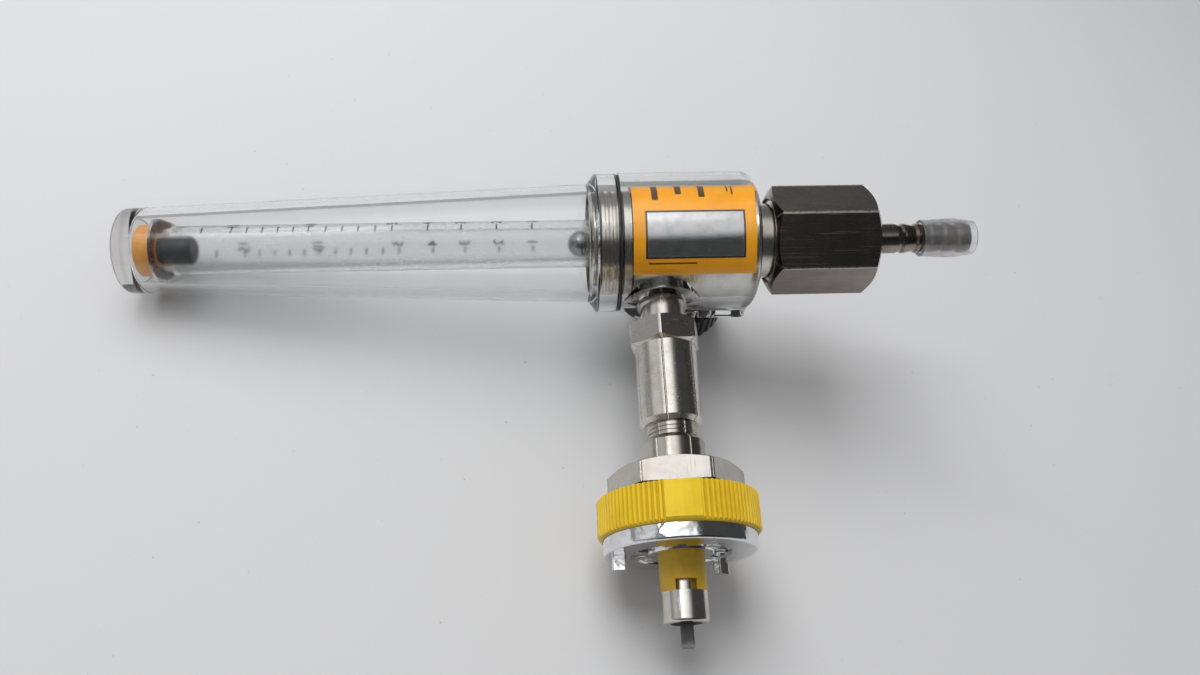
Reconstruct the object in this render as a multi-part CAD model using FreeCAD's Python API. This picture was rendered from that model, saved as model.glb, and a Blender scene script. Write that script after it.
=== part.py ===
import FreeCAD, Part
import math
import os

from FreeCAD import Placement, Rotation, Vector

# Medical air flowmeter: a clear tapered flow tube on a nickel valve body, a wall probe behind,
# a control knob on its right and a hose outlet with a union nut below.
# Millimetres. +Z runs up the flow tube, +Y points into the wall, +X towards the knob.
# The origin is the centre of the face plate's seating face, on the probe axis.

# Fits, all radial or axial gaps
press_gap = 0.02
seat_gap = 0.05
running_gap = 0.08
loose_gap = 0.30

# Edge breaks, and how far a cutter runs past the face it opens
fine_edge = 0.3
overrun = 1.0

# Valve body, a turned and plated bar
barrel_r = 12.85
barrel_top_z = 6.9
barrel_bottom_z = -20.9
barrel_edge = 0.5
spigot_height = 7.1
spigot_groove_depth = 0.45
spigot_groove_pitch = 1.6
spigot_groove_count = 3
valve_axis_z = -8.0
valve_face_x = 9.4
valve_seat_x = 3.6
valve_seat_r = 1.4
valve_thread_r = 5.0
valve_thread_length = 2.6
feed_r = 1.8
return_r = 1.2
return_top_x = 9.5
return_foot_x = 5.4
inlet_hole_r = 5.0
inlet_hole_depth = 5.4
relief_r = 8.7
relief_length = 5.4
outlet_thread_r = 9.4
outlet_thread_length = 13.1
outlet_bore_r = 3.6
outlet_bore_top = 6.5
outlet_passage_r = 1.6
outlet_cone_r = 5.9
outlet_cone_depth = 2.2

# Clear body shell
shell_r = 16.2
spigot_inset = 4.2
shell_top_z = 9.2
shell_floor = 1.1
shell_foot_round = 3.2
block_half_width = 11.0
block_end_x = 18.8
block_top_z = 2.6
block_round = 0.8
block_proud = 0.6
inlet_boss_r = 8.7
inlet_boss_proud = 0.1
shell_gap = 0.15

# Label and serial plate, wrapped on the barrel; angles run from -X towards +Y
label_thickness = 0.08
label_top_z = 6.7
label_bottom_z = -20.1
label_back_angle = 61.5
label_front_angle = -118.0
plate_thickness = 0.04
plate_top_z = 4.0
plate_bottom_z = -18.1
plate_back_angle = 45.8
plate_front_angle = 0.8

# Clear cover
gasket_thickness = 0.5
gasket_inset = 0.3
collar_inset = 0.2
collar_height = 5.0
collar_bevel_height = 1.7
collar_round = 0.5
cover_foot_r = 13.7
cover_top_r = 9.6
cover_length = 111.1
cover_wall = 2.4
cover_end_wall = 3.6
cover_end_round = 1.1
cover_inner_round = 0.8

# Flow tube and what stands in it
tube_r = 5.5
tube_socket_depth = 5.0
tube_bore_foot_r = 3.3
tube_bore_top_r = 4.1
tube_flare_height = 4.2
tube_flare_straight = 0.9
tube_flare_round = 2.0
foot_ring_section_r = 0.9
seat_insert_height = 7.0
seat_insert_bore_r = 1.5
seat_cup_depth = 1.0
ball_r = 3.0
stop_r = 3.3
stop_length = 7.5
stop_round = 0.8
stop_pin_r = 1.4
stop_pin_length = 2.2
plug_r = 5.9
plug_height = 4.1
plug_edge = 0.5

# Needle valve and knob
bonnet_r = 8.6
bonnet_step_inset = 0.8
bonnet_neck_r = 6.4
bonnet_neck = 1.0
stem_r = 2.0
stem_length = 22.0
needle_length = 3.2
needle_tip_r = 0.3
needle_entry = 1.5
stem_ring_section_r = 0.5
stem_ring_place = 3.0
knob_gap = 0.8
knob_r = 11.8
knob_length = 10.9
knob_edge = 0.8
knob_flutes = 36
knob_flute_depth = 0.55
knob_recess_r = 7.4
knob_recess_depth = 2.0
knob_dish_r = 9.0
knob_dish_depth = 0.5
knob_screw_head_r = 2.6
knob_screw_head = 1.6
knob_screw_inset = 0.7
knob_screw_r = 1.1
knob_screw_length = 4.5
knob_screw_slot = 0.6
knob_screw_round = 0.5

# Union nut, nipple and the cut piece of tubing on it
nut_flats = 22.1
nut_length = 24.1
nut_bevel_r = 10.3
nut_bevel_slope = 0.55
nut_lip_r = 9.9
nut_lip_depth = 0.7
nut_shoulder = 6.0
hexagon_margin = 0.2
nipple_shank_r = 5.0
nipple_flange_r = 8.4
nipple_flange = 3.0
nipple_nose = 4.0
nipple_nose_r = 3.3
nipple_neck_r = 3.5
nipple_neck_length = 7.6
nipple_neck_edge = 0.4
nipple_neck_taper = 1.2
nipple_bore_r = 2.1
barb_crest_r = 3.5
barb_root_r = 3.1
barb_length = 3.26
barb_count = 5
barb_rise_share = 0.15
barb_crest_share = 0.30
barb_fall_share = 0.95
outlet_ring_section_r = 0.7
tubing_r = 4.3
tubing_bulge = 0.35
tubing_length = 12.4
tubing_overhang = 1.2
tubing_end_r = 4.0
tubing_swell_length = 4.2

# Inlet pipe, coupling and filter
pipe_length = 13.6
pipe_bore_r = 2.2
pipe_collar_r = 5.6
pipe_collar = 0.9
coupling_flats = 14.3
coupling_start_y = 21.6
coupling_hex_length = 6.1
coupling_bevel = 0.55
coupling_bevel_inset = 0.1
coupling_sleeve_r = 6.75
coupling_sleeve_length = 17.9
coupling_web = 3.6
coupling_web_bore_r = 2.6
coupling_end_edge = 0.9
filter_clearance = 0.15
filter_wall = 1.2
washer_thickness = 1.2
washer_bore_r = 2.4

# Adapter hub, colour ring, face plate and wall probe
hub_thread_r = 5.2
hub_thread_engaged = 9.6
hub_thread_shown = 3.3
hub_collar_r = 6.75
hub_collar_length = 6.4
hub_collar_edge = 0.8
hub_flats = 24.6
hub_hex_length = 5.0
hub_bevel = 0.45
hub_barrel_r = 11.0
hub_barrel_length = 9.1
hub_bore_r = 2.2
ring_r = 16.45
ring_pad_rise = 0.2
ring_pad_width = 7.0
ring_pads = 4
ring_ribs_per_bay = 17
ring_rib_depth = 0.4
ring_length = 8.0
ring_bevel = 1.0
ring_back_bevel = 0.5
disc_r = 15.6
disc_thickness = 3.1
disc_edge = 0.6
disc_recess_depth = 0.5
disc_recess_inner_r = 6.6
disc_recess_outer_r = 10.2
lug_place_r = 12.5
lug_radial = 3.0
lug_width = 2.1
lug_height = 2.7
lug_round = 0.5
lug_second_angle = 138.0
plate_screw_r = 0.9
plate_screw_head_r = 1.6
plate_screw_head = 0.9
plate_screw_length = 6.0
plate_screw_place_r = 8.4
plate_screws_count = 3
plate_screw_slot = 0.4
probe_stem_r = 3.2
probe_stem_depth = 9.0
probe_bore_r = 1.7
sleeve_r = 4.7
sleeve_tail_r = 4.3
sleeve_tail_length = 6.6
sleeve_length = 7.4
sleeve_slot_width = 4.2
sleeve_slot_depth = 2.1
nose_r = 4.65
nose_length = 5.9
nose_round = 0.6
nose_recess_r = 3.1
nose_recess_depth = 1.1
probe_seal_thickness = 0.7
pin_width = 2.4
pin_thickness = 1.8
pin_length = 9.0
pin_reach = 4.6
probe_ring_section_r = 0.5

# Places worked out from the sizes above, along the tube axis
spigot_r = shell_r - spigot_inset
collar_r = shell_r - collar_inset
gasket_outer_r = collar_r - gasket_inset
stem_bottom_z = barrel_bottom_z - relief_length - outlet_thread_length
shell_bottom_z = barrel_bottom_z - shell_floor
spigot_top_z = barrel_top_z + spigot_height
cover_foot_z = shell_top_z + gasket_thickness
cover_bevel_z = cover_foot_z + collar_height
cover_taper_z = cover_bevel_z + collar_bevel_height
cover_top_z = cover_foot_z + cover_length
cover_end_z = cover_top_z - cover_end_wall
plug_bottom_z = cover_end_z - plug_height
tube_foot_z = spigot_top_z - tube_socket_depth
seat_top_z = tube_foot_z + seat_insert_height
outlet_ring_z = stem_bottom_z - seat_gap - outlet_ring_section_r
flange_top_z = outlet_ring_z - outlet_ring_section_r - seat_gap
flange_bottom_z = flange_top_z - nipple_flange
nut_floor_z = flange_bottom_z - seat_gap
nut_bottom_z = nut_floor_z - nut_shoulder
nut_top_z = nut_bottom_z + nut_length
barb_start_z = nut_bottom_z - nipple_neck_length
nipple_end_z = barb_start_z - barb_count * barb_length
tubing_end_z = nipple_end_z - tubing_overhang

# Places along the inlet axis, counted from the tube axis
inlet_boss_y = shell_r + inlet_boss_proud
hole_floor_y = barrel_r - inlet_hole_depth
pipe_start_y = hole_floor_y + seat_gap
coupling_hex_end_y = coupling_start_y + coupling_hex_length
coupling_end_y = coupling_hex_end_y + coupling_sleeve_length
pipe_end_y = pipe_start_y + pipe_length + pipe_collar + seat_gap + inlet_boss_y - barrel_r
coupling_web_y = pipe_end_y + seat_gap
chamber_y = coupling_web_y + coupling_web
hub_start_y = coupling_end_y - hub_thread_engaged
hub_collar_y = coupling_end_y + hub_thread_shown
hub_hex_y = hub_collar_y + hub_collar_length
hub_hex_end_y = hub_hex_y + hub_hex_length
hub_end_y = hub_hex_end_y + hub_barrel_length
disc_back_y = hub_end_y + seat_gap
seating_y = disc_back_y + disc_thickness
ring_start_y = disc_back_y - seat_gap - ring_length
washer_y = hub_start_y - washer_thickness
filter_end_y = washer_y - seat_gap
filter_r = hub_thread_r - filter_clearance
sleeve_end_y = seating_y + sleeve_length
sleeve_start_y = seating_y - sleeve_tail_length
probe_ring_y = sleeve_start_y - seat_gap - probe_ring_section_r
socket_y = probe_ring_y - probe_ring_section_r - seat_gap
probe_stem_y = socket_y - probe_stem_depth
nose_end_y = sleeve_end_y + nose_length

# Places along the valve axis, counted from the tube axis
bonnet_step_x = block_end_x - bonnet_step_inset
bonnet_top_x = bonnet_step_x + bonnet_neck
knob_start_x = block_end_x + knob_gap
knob_end_x = knob_start_x + knob_length
stem_start_x = valve_seat_x - needle_entry
stem_end_x = stem_start_x + stem_length

# How far each hexagon and the colour ring stand turned about their own axis
nut_turn = -0.8
coupling_turn = 13.0
hub_turn = 35.7
ring_turn = 3.4

# Steps across one flute: its share of the pitch, and its share of the depth
flute_shape = ((0.0, 0.0), (0.38, 0.0), (0.52, 0.75), (0.69, 1.0), (0.86, 0.75))

tube_axis = "tube"
inlet_axis = "inlet"
valve_axis = "valve"
whole_turn = 360.0


def place_on(shape, axis):
    """Lay a shape modelled along +Z at the origin onto one of the three axes."""
    if axis == inlet_axis:
        lay = Placement(Vector(0, 0, 0), Rotation(Vector(1, 0, 0), -90))
        shape.Placement = lay.multiply(shape.Placement)
    if axis == valve_axis:
        lay = Placement(Vector(0, 0, valve_axis_z), Rotation(Vector(0, 1, 0), 90))
        shape.Placement = lay.multiply(shape.Placement)
    return shape


def outline(points, rounds):
    """A closed wire in the XZ plane; rounds gives the radius at a point's number."""
    corners = [Vector(r, 0, s) for r, s in points]
    count = len(corners)
    edges = []
    ends = []
    for number, corner in enumerate(corners):
        radius = rounds.get(number, 0.0)
        if radius == 0.0:
            ends.append((corner, corner, None))
            continue
        back = (corners[number - 1] - corner).normalize()
        ahead = (corners[(number + 1) % count] - corner).normalize()
        half = back.getAngle(ahead) / 2
        reach = radius / math.tan(half)
        middle = (back + ahead).normalize() * (radius / math.sin(half) - radius)
        ends.append((corner + back * reach, corner + ahead * reach, corner + middle))
    for number in range(count):
        start, stop, middle = ends[number]
        following = ends[(number + 1) % count][0]
        if middle is not None:
            edges.append(Part.Arc(start, middle, stop).toShape())
        if (following - stop).Length > 1e-6:
            edges.append(Part.LineSegment(stop, following).toShape())
    return Part.Wire(edges)


def turned(points, axis=tube_axis, rounds=None):
    """Turn an outline of (radius, station) points about an axis."""
    face = Part.Face(outline(points, rounds or {}))
    solid = face.revolve(Vector(0, 0, 0), Vector(0, 0, 1), whole_turn)
    return place_on(solid, axis)


def rod(radius, start, stop, axis=tube_axis):
    """A plain round bar or drill between two stations."""
    bar = Part.makeCylinder(radius, stop - start, Vector(0, 0, start), Vector(0, 0, 1))
    return place_on(bar, axis)


def ring_seal(section_r, centre_r, station, axis=tube_axis):
    """An O-ring of round section."""
    ring = Part.makeTorus(centre_r, section_r, Vector(0, 0, station), Vector(0, 0, 1))
    return place_on(ring, axis)


def hexagon(flats, start, stop, axis=tube_axis, turn=0.0):
    """A hexagon bar; turn is the angle of its first corner."""
    corner_r = flats / math.sqrt(3)
    corners = []
    for number in range(7):
        angle = math.radians(turn + 60 * number)
        corners.append(Vector(corner_r * math.cos(angle), corner_r * math.sin(angle), start))
    face = Part.Face(Part.makePolygon(corners))
    bar = face.extrude(Vector(0, 0, stop - start))
    return place_on(bar, axis)


def cover_outer_r(station):
    """Outside radius of the cover's taper at a height."""
    share = (station - cover_taper_z) / (cover_top_z - cover_taper_z)
    return cover_foot_r + (cover_top_r - cover_foot_r) * share


def cover_inner_r(station):
    """Inside radius of the cover's taper at a height."""
    return cover_outer_r(station) - cover_wall


def spigot_outline():
    """Points of the barrel's upper spigot with its thread bands, from the outside in."""
    points = [(spigot_r, barrel_top_z)]
    first = barrel_top_z + spigot_groove_pitch
    for number in range(spigot_groove_count):
        start = first + number * spigot_groove_pitch
        points.append((spigot_r, start))
        points.append((spigot_r - spigot_groove_depth, start + 0.25 * spigot_groove_pitch))
        points.append((spigot_r - spigot_groove_depth, start + 0.50 * spigot_groove_pitch))
        points.append((spigot_r, start + 0.75 * spigot_groove_pitch))
    points.append((spigot_r, spigot_top_z - barrel_edge))
    points.append((spigot_r - barrel_edge, spigot_top_z))
    return points


def valve_body():
    thread_bottom_z = stem_bottom_z + barrel_edge
    profile = [
        (0, stem_bottom_z),
        (outlet_thread_r - barrel_edge, stem_bottom_z),
        (outlet_thread_r, thread_bottom_z),
        (outlet_thread_r, barrel_bottom_z - relief_length),
        (relief_r, barrel_bottom_z - relief_length + barrel_edge),
        (relief_r, barrel_bottom_z),
        (barrel_r - barrel_edge, barrel_bottom_z),
        (barrel_r, barrel_bottom_z + barrel_edge),
        (barrel_r, barrel_top_z - barrel_edge),
        (barrel_r - barrel_edge, barrel_top_z),
    ]
    profile += spigot_outline()
    profile.append((0, spigot_top_z))
    bar = turned(profile)
    foot_ring_r = tube_r + seat_gap + 2 * foot_ring_section_r
    outlet_top_z = valve_axis_z - outlet_bore_top
    return_top = Vector(return_top_x, 0, spigot_top_z)
    return_run = Vector(return_foot_x, 0, valve_axis_z) - return_top
    cuts = [
        rod(inlet_hole_r + press_gap, hole_floor_y, barrel_r + overrun, inlet_axis),
        rod(feed_r, 0, hole_floor_y, inlet_axis),
        rod(feed_r, -feed_r, tube_foot_z),
        rod(tube_r + seat_gap, tube_foot_z, spigot_top_z),
        rod(foot_ring_r + seat_gap, spigot_top_z - foot_ring_section_r, spigot_top_z),
        Part.makeCylinder(return_r, return_run.Length, return_top, return_run),
        rod(bonnet_r + running_gap, valve_face_x, barrel_r + overrun, valve_axis),
        rod(valve_thread_r + press_gap, valve_seat_x, valve_face_x, valve_axis),
        rod(valve_seat_r, 0, valve_seat_x, valve_axis),
        rod(outlet_passage_r, outlet_top_z, valve_axis_z),
        turned(
            [
                (0, stem_bottom_z),
                (outlet_cone_r, stem_bottom_z),
                (outlet_bore_r, stem_bottom_z + outlet_cone_depth),
                (outlet_bore_r, outlet_top_z),
                (0, outlet_top_z + outlet_bore_r / 2),
            ]
        ),
    ]
    return bar.cut(Part.makeCompound(cuts)).removeSplitter()


def body_shell():
    barrel = turned(
        [(0, shell_bottom_z), (shell_r, shell_bottom_z), (shell_r, shell_top_z), (0, shell_top_z)],
        rounds={1: shell_foot_round},
    )
    block_foot_z = shell_bottom_z - block_proud
    block = Part.makeBox(
        block_end_x,
        2 * block_half_width,
        block_top_z - block_foot_z,
        Vector(0, -block_half_width, block_foot_z),
    )
    end_edges = [edge for edge in block.Edges if edge.BoundBox.XMin > block_end_x / 2]
    run_edges = [edge for edge in block.Edges if edge.BoundBox.XLength > block_end_x / 2]
    block = block.makeFillet(block_round, end_edges + run_edges)
    boss = rod(inlet_boss_r, 0, inlet_boss_y, inlet_axis)
    boss = boss.common(rod(shell_r + inlet_boss_y, shell_bottom_z, shell_top_z))
    shell = barrel.fuse([block, boss])
    cavity_r = barrel_r + label_thickness + plate_thickness + shell_gap
    cuts = [
        rod(cavity_r, barrel_bottom_z, shell_top_z),
        rod(outlet_thread_r + loose_gap, block_foot_z, barrel_bottom_z),
        rod(bonnet_r + shell_gap, 0, block_end_x, valve_axis),
        rod(inlet_hole_r + shell_gap, 0, inlet_boss_y, inlet_axis),
    ]
    return shell.cut(Part.makeCompound(cuts)).removeSplitter()


def wrapped(inner_r, thickness, bottom_z, top_z, front_angle, back_angle):
    """A sheet wrapped on the barrel between two angles from -X towards +Y."""
    foot = Vector(0, 0, bottom_z)
    height = top_z - bottom_z
    span = back_angle - front_angle
    sheet = Part.makeCylinder(inner_r + thickness, height, foot, Vector(0, 0, 1), span)
    core = Part.makeCylinder(inner_r, height, foot)
    sheet = sheet.cut(core)
    sheet.rotate(Vector(0, 0, 0), Vector(0, 0, 1), 180 - back_angle)
    return sheet


def label():
    return wrapped(
        barrel_r, label_thickness, label_bottom_z, label_top_z, label_front_angle, label_back_angle
    )


def serial_plate():
    return wrapped(
        barrel_r + label_thickness,
        plate_thickness,
        plate_bottom_z,
        plate_top_z,
        plate_front_angle,
        plate_back_angle,
    )


def cover_gasket():
    return turned(
        [
            (spigot_r + seat_gap, shell_top_z),
            (gasket_outer_r, shell_top_z),
            (gasket_outer_r, cover_foot_z),
            (spigot_r + seat_gap, cover_foot_z),
        ]
    )


def outer_cover():
    socket_z = spigot_top_z + seat_gap
    return turned(
        [
            (0, cover_top_z),
            (cover_top_r, cover_top_z),
            (cover_foot_r, cover_taper_z),
            (collar_r, cover_bevel_z),
            (collar_r, cover_foot_z),
            (spigot_r + seat_gap, cover_foot_z),
            (spigot_r + seat_gap, socket_z),
            (cover_inner_r(socket_z), socket_z + collar_bevel_height / 2),
            (cover_inner_r(cover_end_z), cover_end_z),
            (0, cover_end_z),
        ],
        rounds={1: cover_end_round, 3: collar_round, 8: cover_inner_round},
    )


def flow_tube():
    flare_r = cover_inner_r(plug_bottom_z) - loose_gap
    flare_z = plug_bottom_z - tube_flare_height
    return turned(
        [
            (tube_bore_foot_r, tube_foot_z),
            (tube_r, tube_foot_z),
            (tube_r, flare_z),
            (flare_r, plug_bottom_z - tube_flare_straight),
            (flare_r, plug_bottom_z),
            (tube_bore_top_r, plug_bottom_z),
        ],
        rounds={2: tube_flare_round},
    )


def foot_o_ring():
    return ring_seal(foot_ring_section_r, tube_r + seat_gap + foot_ring_section_r, spigot_top_z)


def ball_seat():
    return turned(
        [
            (seat_insert_bore_r, tube_foot_z),
            (tube_bore_foot_r - seat_gap, tube_foot_z),
            (tube_bore_foot_r - seat_gap, seat_top_z),
            (seat_insert_bore_r + seat_cup_depth, seat_top_z),
            (seat_insert_bore_r, seat_top_z - seat_cup_depth),
        ]
    )


def float_ball():
    rim_r = seat_insert_bore_r + seat_cup_depth
    centre_z = seat_top_z + math.sqrt(ball_r ** 2 - rim_r ** 2) + loose_gap
    return Part.makeSphere(ball_r, Vector(0, 0, centre_z))


def float_stop():
    body = turned(
        [
            (0, plug_bottom_z - stop_length),
            (stop_r, plug_bottom_z - stop_length),
            (stop_r, plug_bottom_z),
            (0, plug_bottom_z),
        ],
        rounds={1: stop_round},
    )
    return body.fuse(rod(stop_pin_r, plug_bottom_z, plug_bottom_z + stop_pin_length)).removeSplitter()


def top_plug():
    plug = turned(
        [
            (0, plug_bottom_z),
            (plug_r, plug_bottom_z),
            (plug_r, cover_end_z - plug_edge),
            (plug_r - plug_edge, cover_end_z),
            (0, cover_end_z),
        ]
    )
    return plug.cut(rod(stop_pin_r + press_gap, plug_bottom_z, plug_bottom_z + stop_pin_length + seat_gap))


def valve_bonnet():
    thread_x = valve_face_x - valve_thread_length
    bonnet = turned(
        [
            (0, thread_x),
            (valve_thread_r, thread_x),
            (valve_thread_r, valve_face_x),
            (bonnet_r, valve_face_x),
            (bonnet_r, bonnet_step_x - fine_edge),
            (bonnet_r - fine_edge, bonnet_step_x),
            (bonnet_neck_r, bonnet_step_x),
            (bonnet_neck_r, bonnet_top_x - fine_edge),
            (bonnet_neck_r - fine_edge, bonnet_top_x),
            (0, bonnet_top_x),
        ],
        valve_axis,
    )
    groove_x = bonnet_top_x - stem_ring_place
    groove = rod(
        stem_r + running_gap + 2 * stem_ring_section_r + seat_gap,
        groove_x - stem_ring_section_r - seat_gap,
        groove_x + stem_ring_section_r + seat_gap,
        valve_axis,
    )
    bore = rod(stem_r + running_gap, 0, bonnet_top_x, valve_axis)
    return bonnet.cut(Part.makeCompound([bore, groove]))


def stem_o_ring():
    groove_x = bonnet_top_x - stem_ring_place
    centre_r = stem_r + running_gap + stem_ring_section_r
    return ring_seal(stem_ring_section_r, centre_r, groove_x, valve_axis)


def needle_stem():
    stem = turned(
        [
            (0, stem_start_x),
            (needle_tip_r, stem_start_x),
            (stem_r, stem_start_x + needle_length),
            (stem_r, stem_end_x - fine_edge),
            (stem_r - fine_edge, stem_end_x),
            (0, stem_end_x),
        ],
        valve_axis,
    )
    return stem.cut(rod(knob_screw_r + seat_gap, stem_end_x - knob_screw_length, stem_end_x, valve_axis))


def fluted_outline():
    """The knob's rim: rounded crests with shallow flutes between them."""
    points = []
    for number in range(knob_flutes):
        start = whole_turn / knob_flutes * number
        for share, depth in flute_shape:
            angle = math.radians(start + share * whole_turn / knob_flutes)
            radius = knob_r + fine_edge - (knob_flute_depth + fine_edge) * depth
            points.append(Vector(radius * math.cos(angle), radius * math.sin(angle), 0))
    points.append(points[0])
    return Part.makePolygon(points)


def knob():
    blank = Part.Face(fluted_outline()).extrude(Vector(0, 0, knob_length))
    blank.translate(Vector(0, 0, knob_start_x))
    envelope = turned(
        [
            (0, knob_start_x),
            (knob_r - knob_edge, knob_start_x),
            (knob_r, knob_start_x + knob_edge),
            (knob_r, knob_end_x - knob_edge),
            (knob_r - knob_edge, knob_end_x),
            (0, knob_end_x),
        ]
    )
    body = place_on(blank.common(envelope), valve_axis)
    cuts = [
        rod(knob_recess_r, knob_start_x, knob_start_x + knob_recess_depth, valve_axis),
        rod(stem_r + running_gap, knob_start_x, stem_end_x + seat_gap, valve_axis),
        rod(knob_screw_r + loose_gap, stem_end_x, knob_end_x, valve_axis),
        rod(knob_dish_r, knob_end_x - knob_dish_depth, knob_end_x, valve_axis),
        rod(
            knob_screw_head_r + loose_gap,
            knob_end_x - knob_screw_inset - knob_screw_head,
            knob_end_x,
            valve_axis,
        ),
    ]
    return body.cut(Part.makeCompound(cuts))


def knob_screw():
    head_x = knob_end_x - knob_screw_inset - knob_screw_head
    screw = turned(
        [
            (0, stem_end_x - knob_screw_length + seat_gap),
            (knob_screw_r, stem_end_x - knob_screw_length + seat_gap),
            (knob_screw_r, head_x),
            (knob_screw_head_r, head_x),
            (knob_screw_head_r, head_x + knob_screw_head),
            (0, head_x + knob_screw_head),
        ],
        valve_axis,
        rounds={4: knob_screw_round},
    )
    slot = Part.makeBox(2 * knob_screw_head_r, knob_screw_slot, knob_screw_head / 2)
    slot.translate(Vector(-knob_screw_head_r, -knob_screw_slot / 2, head_x + knob_screw_head / 2))
    return screw.cut(place_on(slot, valve_axis))


def bevelled_hexagon(flats, bevel_r, slope, start, stop, axis, turn, bevels):
    """A hexagon whose corners are turned off at the ends named in bevels."""
    outer = flats / math.sqrt(3) + hexagon_margin
    drop = (outer - bevel_r) * slope
    points = [(0, start)]
    if "start" in bevels:
        points += [(bevel_r, start), (outer, start + drop)]
    else:
        points += [(outer, start)]
    if "stop" in bevels:
        points += [(outer, stop - drop), (bevel_r, stop)]
    else:
        points += [(outer, stop)]
    points.append((0, stop))
    return hexagon(flats, start, stop, axis, turn).common(turned(points, axis))


def hex_nut():
    nut = bevelled_hexagon(
        nut_flats,
        nut_bevel_r,
        nut_bevel_slope,
        nut_bottom_z,
        nut_top_z,
        tube_axis,
        nut_turn,
        ("start", "stop"),
    )
    cuts = [
        rod(outlet_thread_r + running_gap, nut_floor_z, nut_top_z),
        rod(nut_lip_r, nut_top_z - nut_lip_depth, nut_top_z),
        rod(nipple_shank_r + running_gap, nut_bottom_z, nut_floor_z),
    ]
    return nut.cut(Part.makeCompound(cuts))


def barb_outline():
    """Points down the barbed end, from its first ridge to the tip."""
    points = []
    for number in range(barb_count):
        top = barb_start_z - number * barb_length
        points.append((barb_root_r, top))
        points.append((barb_crest_r, top - barb_rise_share * barb_length))
        points.append((barb_crest_r, top - barb_crest_share * barb_length))
        points.append((barb_root_r, top - barb_fall_share * barb_length))
    return points


def nipple():
    nose_z = flange_top_z + nipple_nose
    profile = [
        (nipple_bore_r, nose_z),
        (nipple_nose_r, nose_z),
        (outlet_cone_r - loose_gap, flange_top_z),
        (nipple_flange_r, flange_top_z),
        (nipple_flange_r, flange_bottom_z),
        (nipple_shank_r, flange_bottom_z),
        (nipple_shank_r, nut_bottom_z),
        (nipple_neck_r, nut_bottom_z - nipple_neck_edge),
        (nipple_neck_r, barb_start_z + nipple_neck_taper),
    ]
    profile += barb_outline()
    profile += [(barb_root_r - fine_edge, nipple_end_z), (nipple_bore_r, nipple_end_z)]
    return turned(profile, rounds={3: fine_edge})


def tubing_stub():
    """Soft tubing pushed over the barbs, widest over the last of them."""
    inner = barb_crest_r + press_gap
    start = tubing_end_z + tubing_length
    swell = tubing_end_z + tubing_swell_length
    return turned(
        [
            (inner, tubing_end_z),
            (tubing_end_r, tubing_end_z),
            (tubing_r + tubing_bulge, swell),
            (tubing_r, start),
            (inner, start),
        ],
        rounds={2: tubing_swell_length / 2},
    )


def outlet_o_ring():
    return ring_seal(
        outlet_ring_section_r, nipple_flange_r - 2 * outlet_ring_section_r, outlet_ring_z
    )


def inlet_pipe():
    collar_y = inlet_boss_y + seat_gap
    return turned(
        [
            (pipe_bore_r, pipe_start_y),
            (inlet_hole_r, pipe_start_y),
            (inlet_hole_r, collar_y),
            (pipe_collar_r, collar_y),
            (pipe_collar_r, collar_y + pipe_collar),
            (inlet_hole_r, collar_y + pipe_collar),
            (inlet_hole_r, pipe_end_y),
            (pipe_bore_r, pipe_end_y),
        ],
        inlet_axis,
    )


def inlet_coupling():
    hexagon_end = bevelled_hexagon(
        coupling_flats,
        coupling_sleeve_r - coupling_bevel_inset,
        coupling_bevel,
        coupling_start_y,
        coupling_hex_end_y,
        inlet_axis,
        coupling_turn,
        ("start", "stop"),
    )
    sleeve = turned(
        [
            (0, coupling_hex_end_y - overrun),
            (coupling_sleeve_r, coupling_hex_end_y - overrun),
            (coupling_sleeve_r, coupling_end_y - coupling_end_edge),
            (coupling_sleeve_r - coupling_end_edge, coupling_end_y),
            (0, coupling_end_y),
        ],
        inlet_axis,
    )
    cuts = [
        rod(inlet_hole_r + press_gap, coupling_start_y, coupling_web_y, inlet_axis),
        rod(coupling_web_bore_r, coupling_web_y, chamber_y, inlet_axis),
        rod(hub_thread_r + press_gap, chamber_y, coupling_end_y, inlet_axis),
    ]
    return hexagon_end.fuse(sleeve).cut(Part.makeCompound(cuts)).removeSplitter()


def inlet_filter():
    thimble = rod(filter_r, chamber_y, filter_end_y, inlet_axis)
    hollow = rod(filter_r - filter_wall, chamber_y + filter_wall, filter_end_y, inlet_axis)
    return thimble.cut(hollow)


def filter_washer():
    washer = rod(hub_thread_r - seat_gap, washer_y, hub_start_y, inlet_axis)
    return washer.cut(rod(washer_bore_r, washer_y, hub_start_y, inlet_axis))


def adapter_hub():
    turned_part = turned(
        [
            (0, hub_start_y),
            (hub_thread_r, hub_start_y),
            (hub_thread_r, hub_collar_y),
            (hub_collar_r - hub_collar_edge, hub_collar_y),
            (hub_collar_r, hub_collar_y + hub_collar_edge),
            (hub_collar_r, hub_hex_y + overrun),
            (hub_barrel_r, hub_hex_y + overrun),
            (hub_barrel_r, hub_end_y),
            (0, hub_end_y),
        ],
        inlet_axis,
    )
    hex_part = bevelled_hexagon(
        hub_flats,
        hub_flats / 2 - fine_edge,
        hub_bevel,
        hub_hex_y,
        hub_hex_end_y,
        inlet_axis,
        hub_turn,
        ("start",),
    )
    cuts = [
        rod(hub_bore_r, hub_start_y, probe_stem_y, inlet_axis),
        rod(probe_stem_r + press_gap, probe_stem_y, hub_end_y, inlet_axis),
        rod(sleeve_tail_r + seat_gap, socket_y, hub_end_y, inlet_axis),
    ]
    cuts += screw_places(plate_screw_r, hub_end_y - plate_screw_length, hub_end_y)
    return turned_part.fuse(hex_part).cut(Part.makeCompound(cuts)).removeSplitter()


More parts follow.
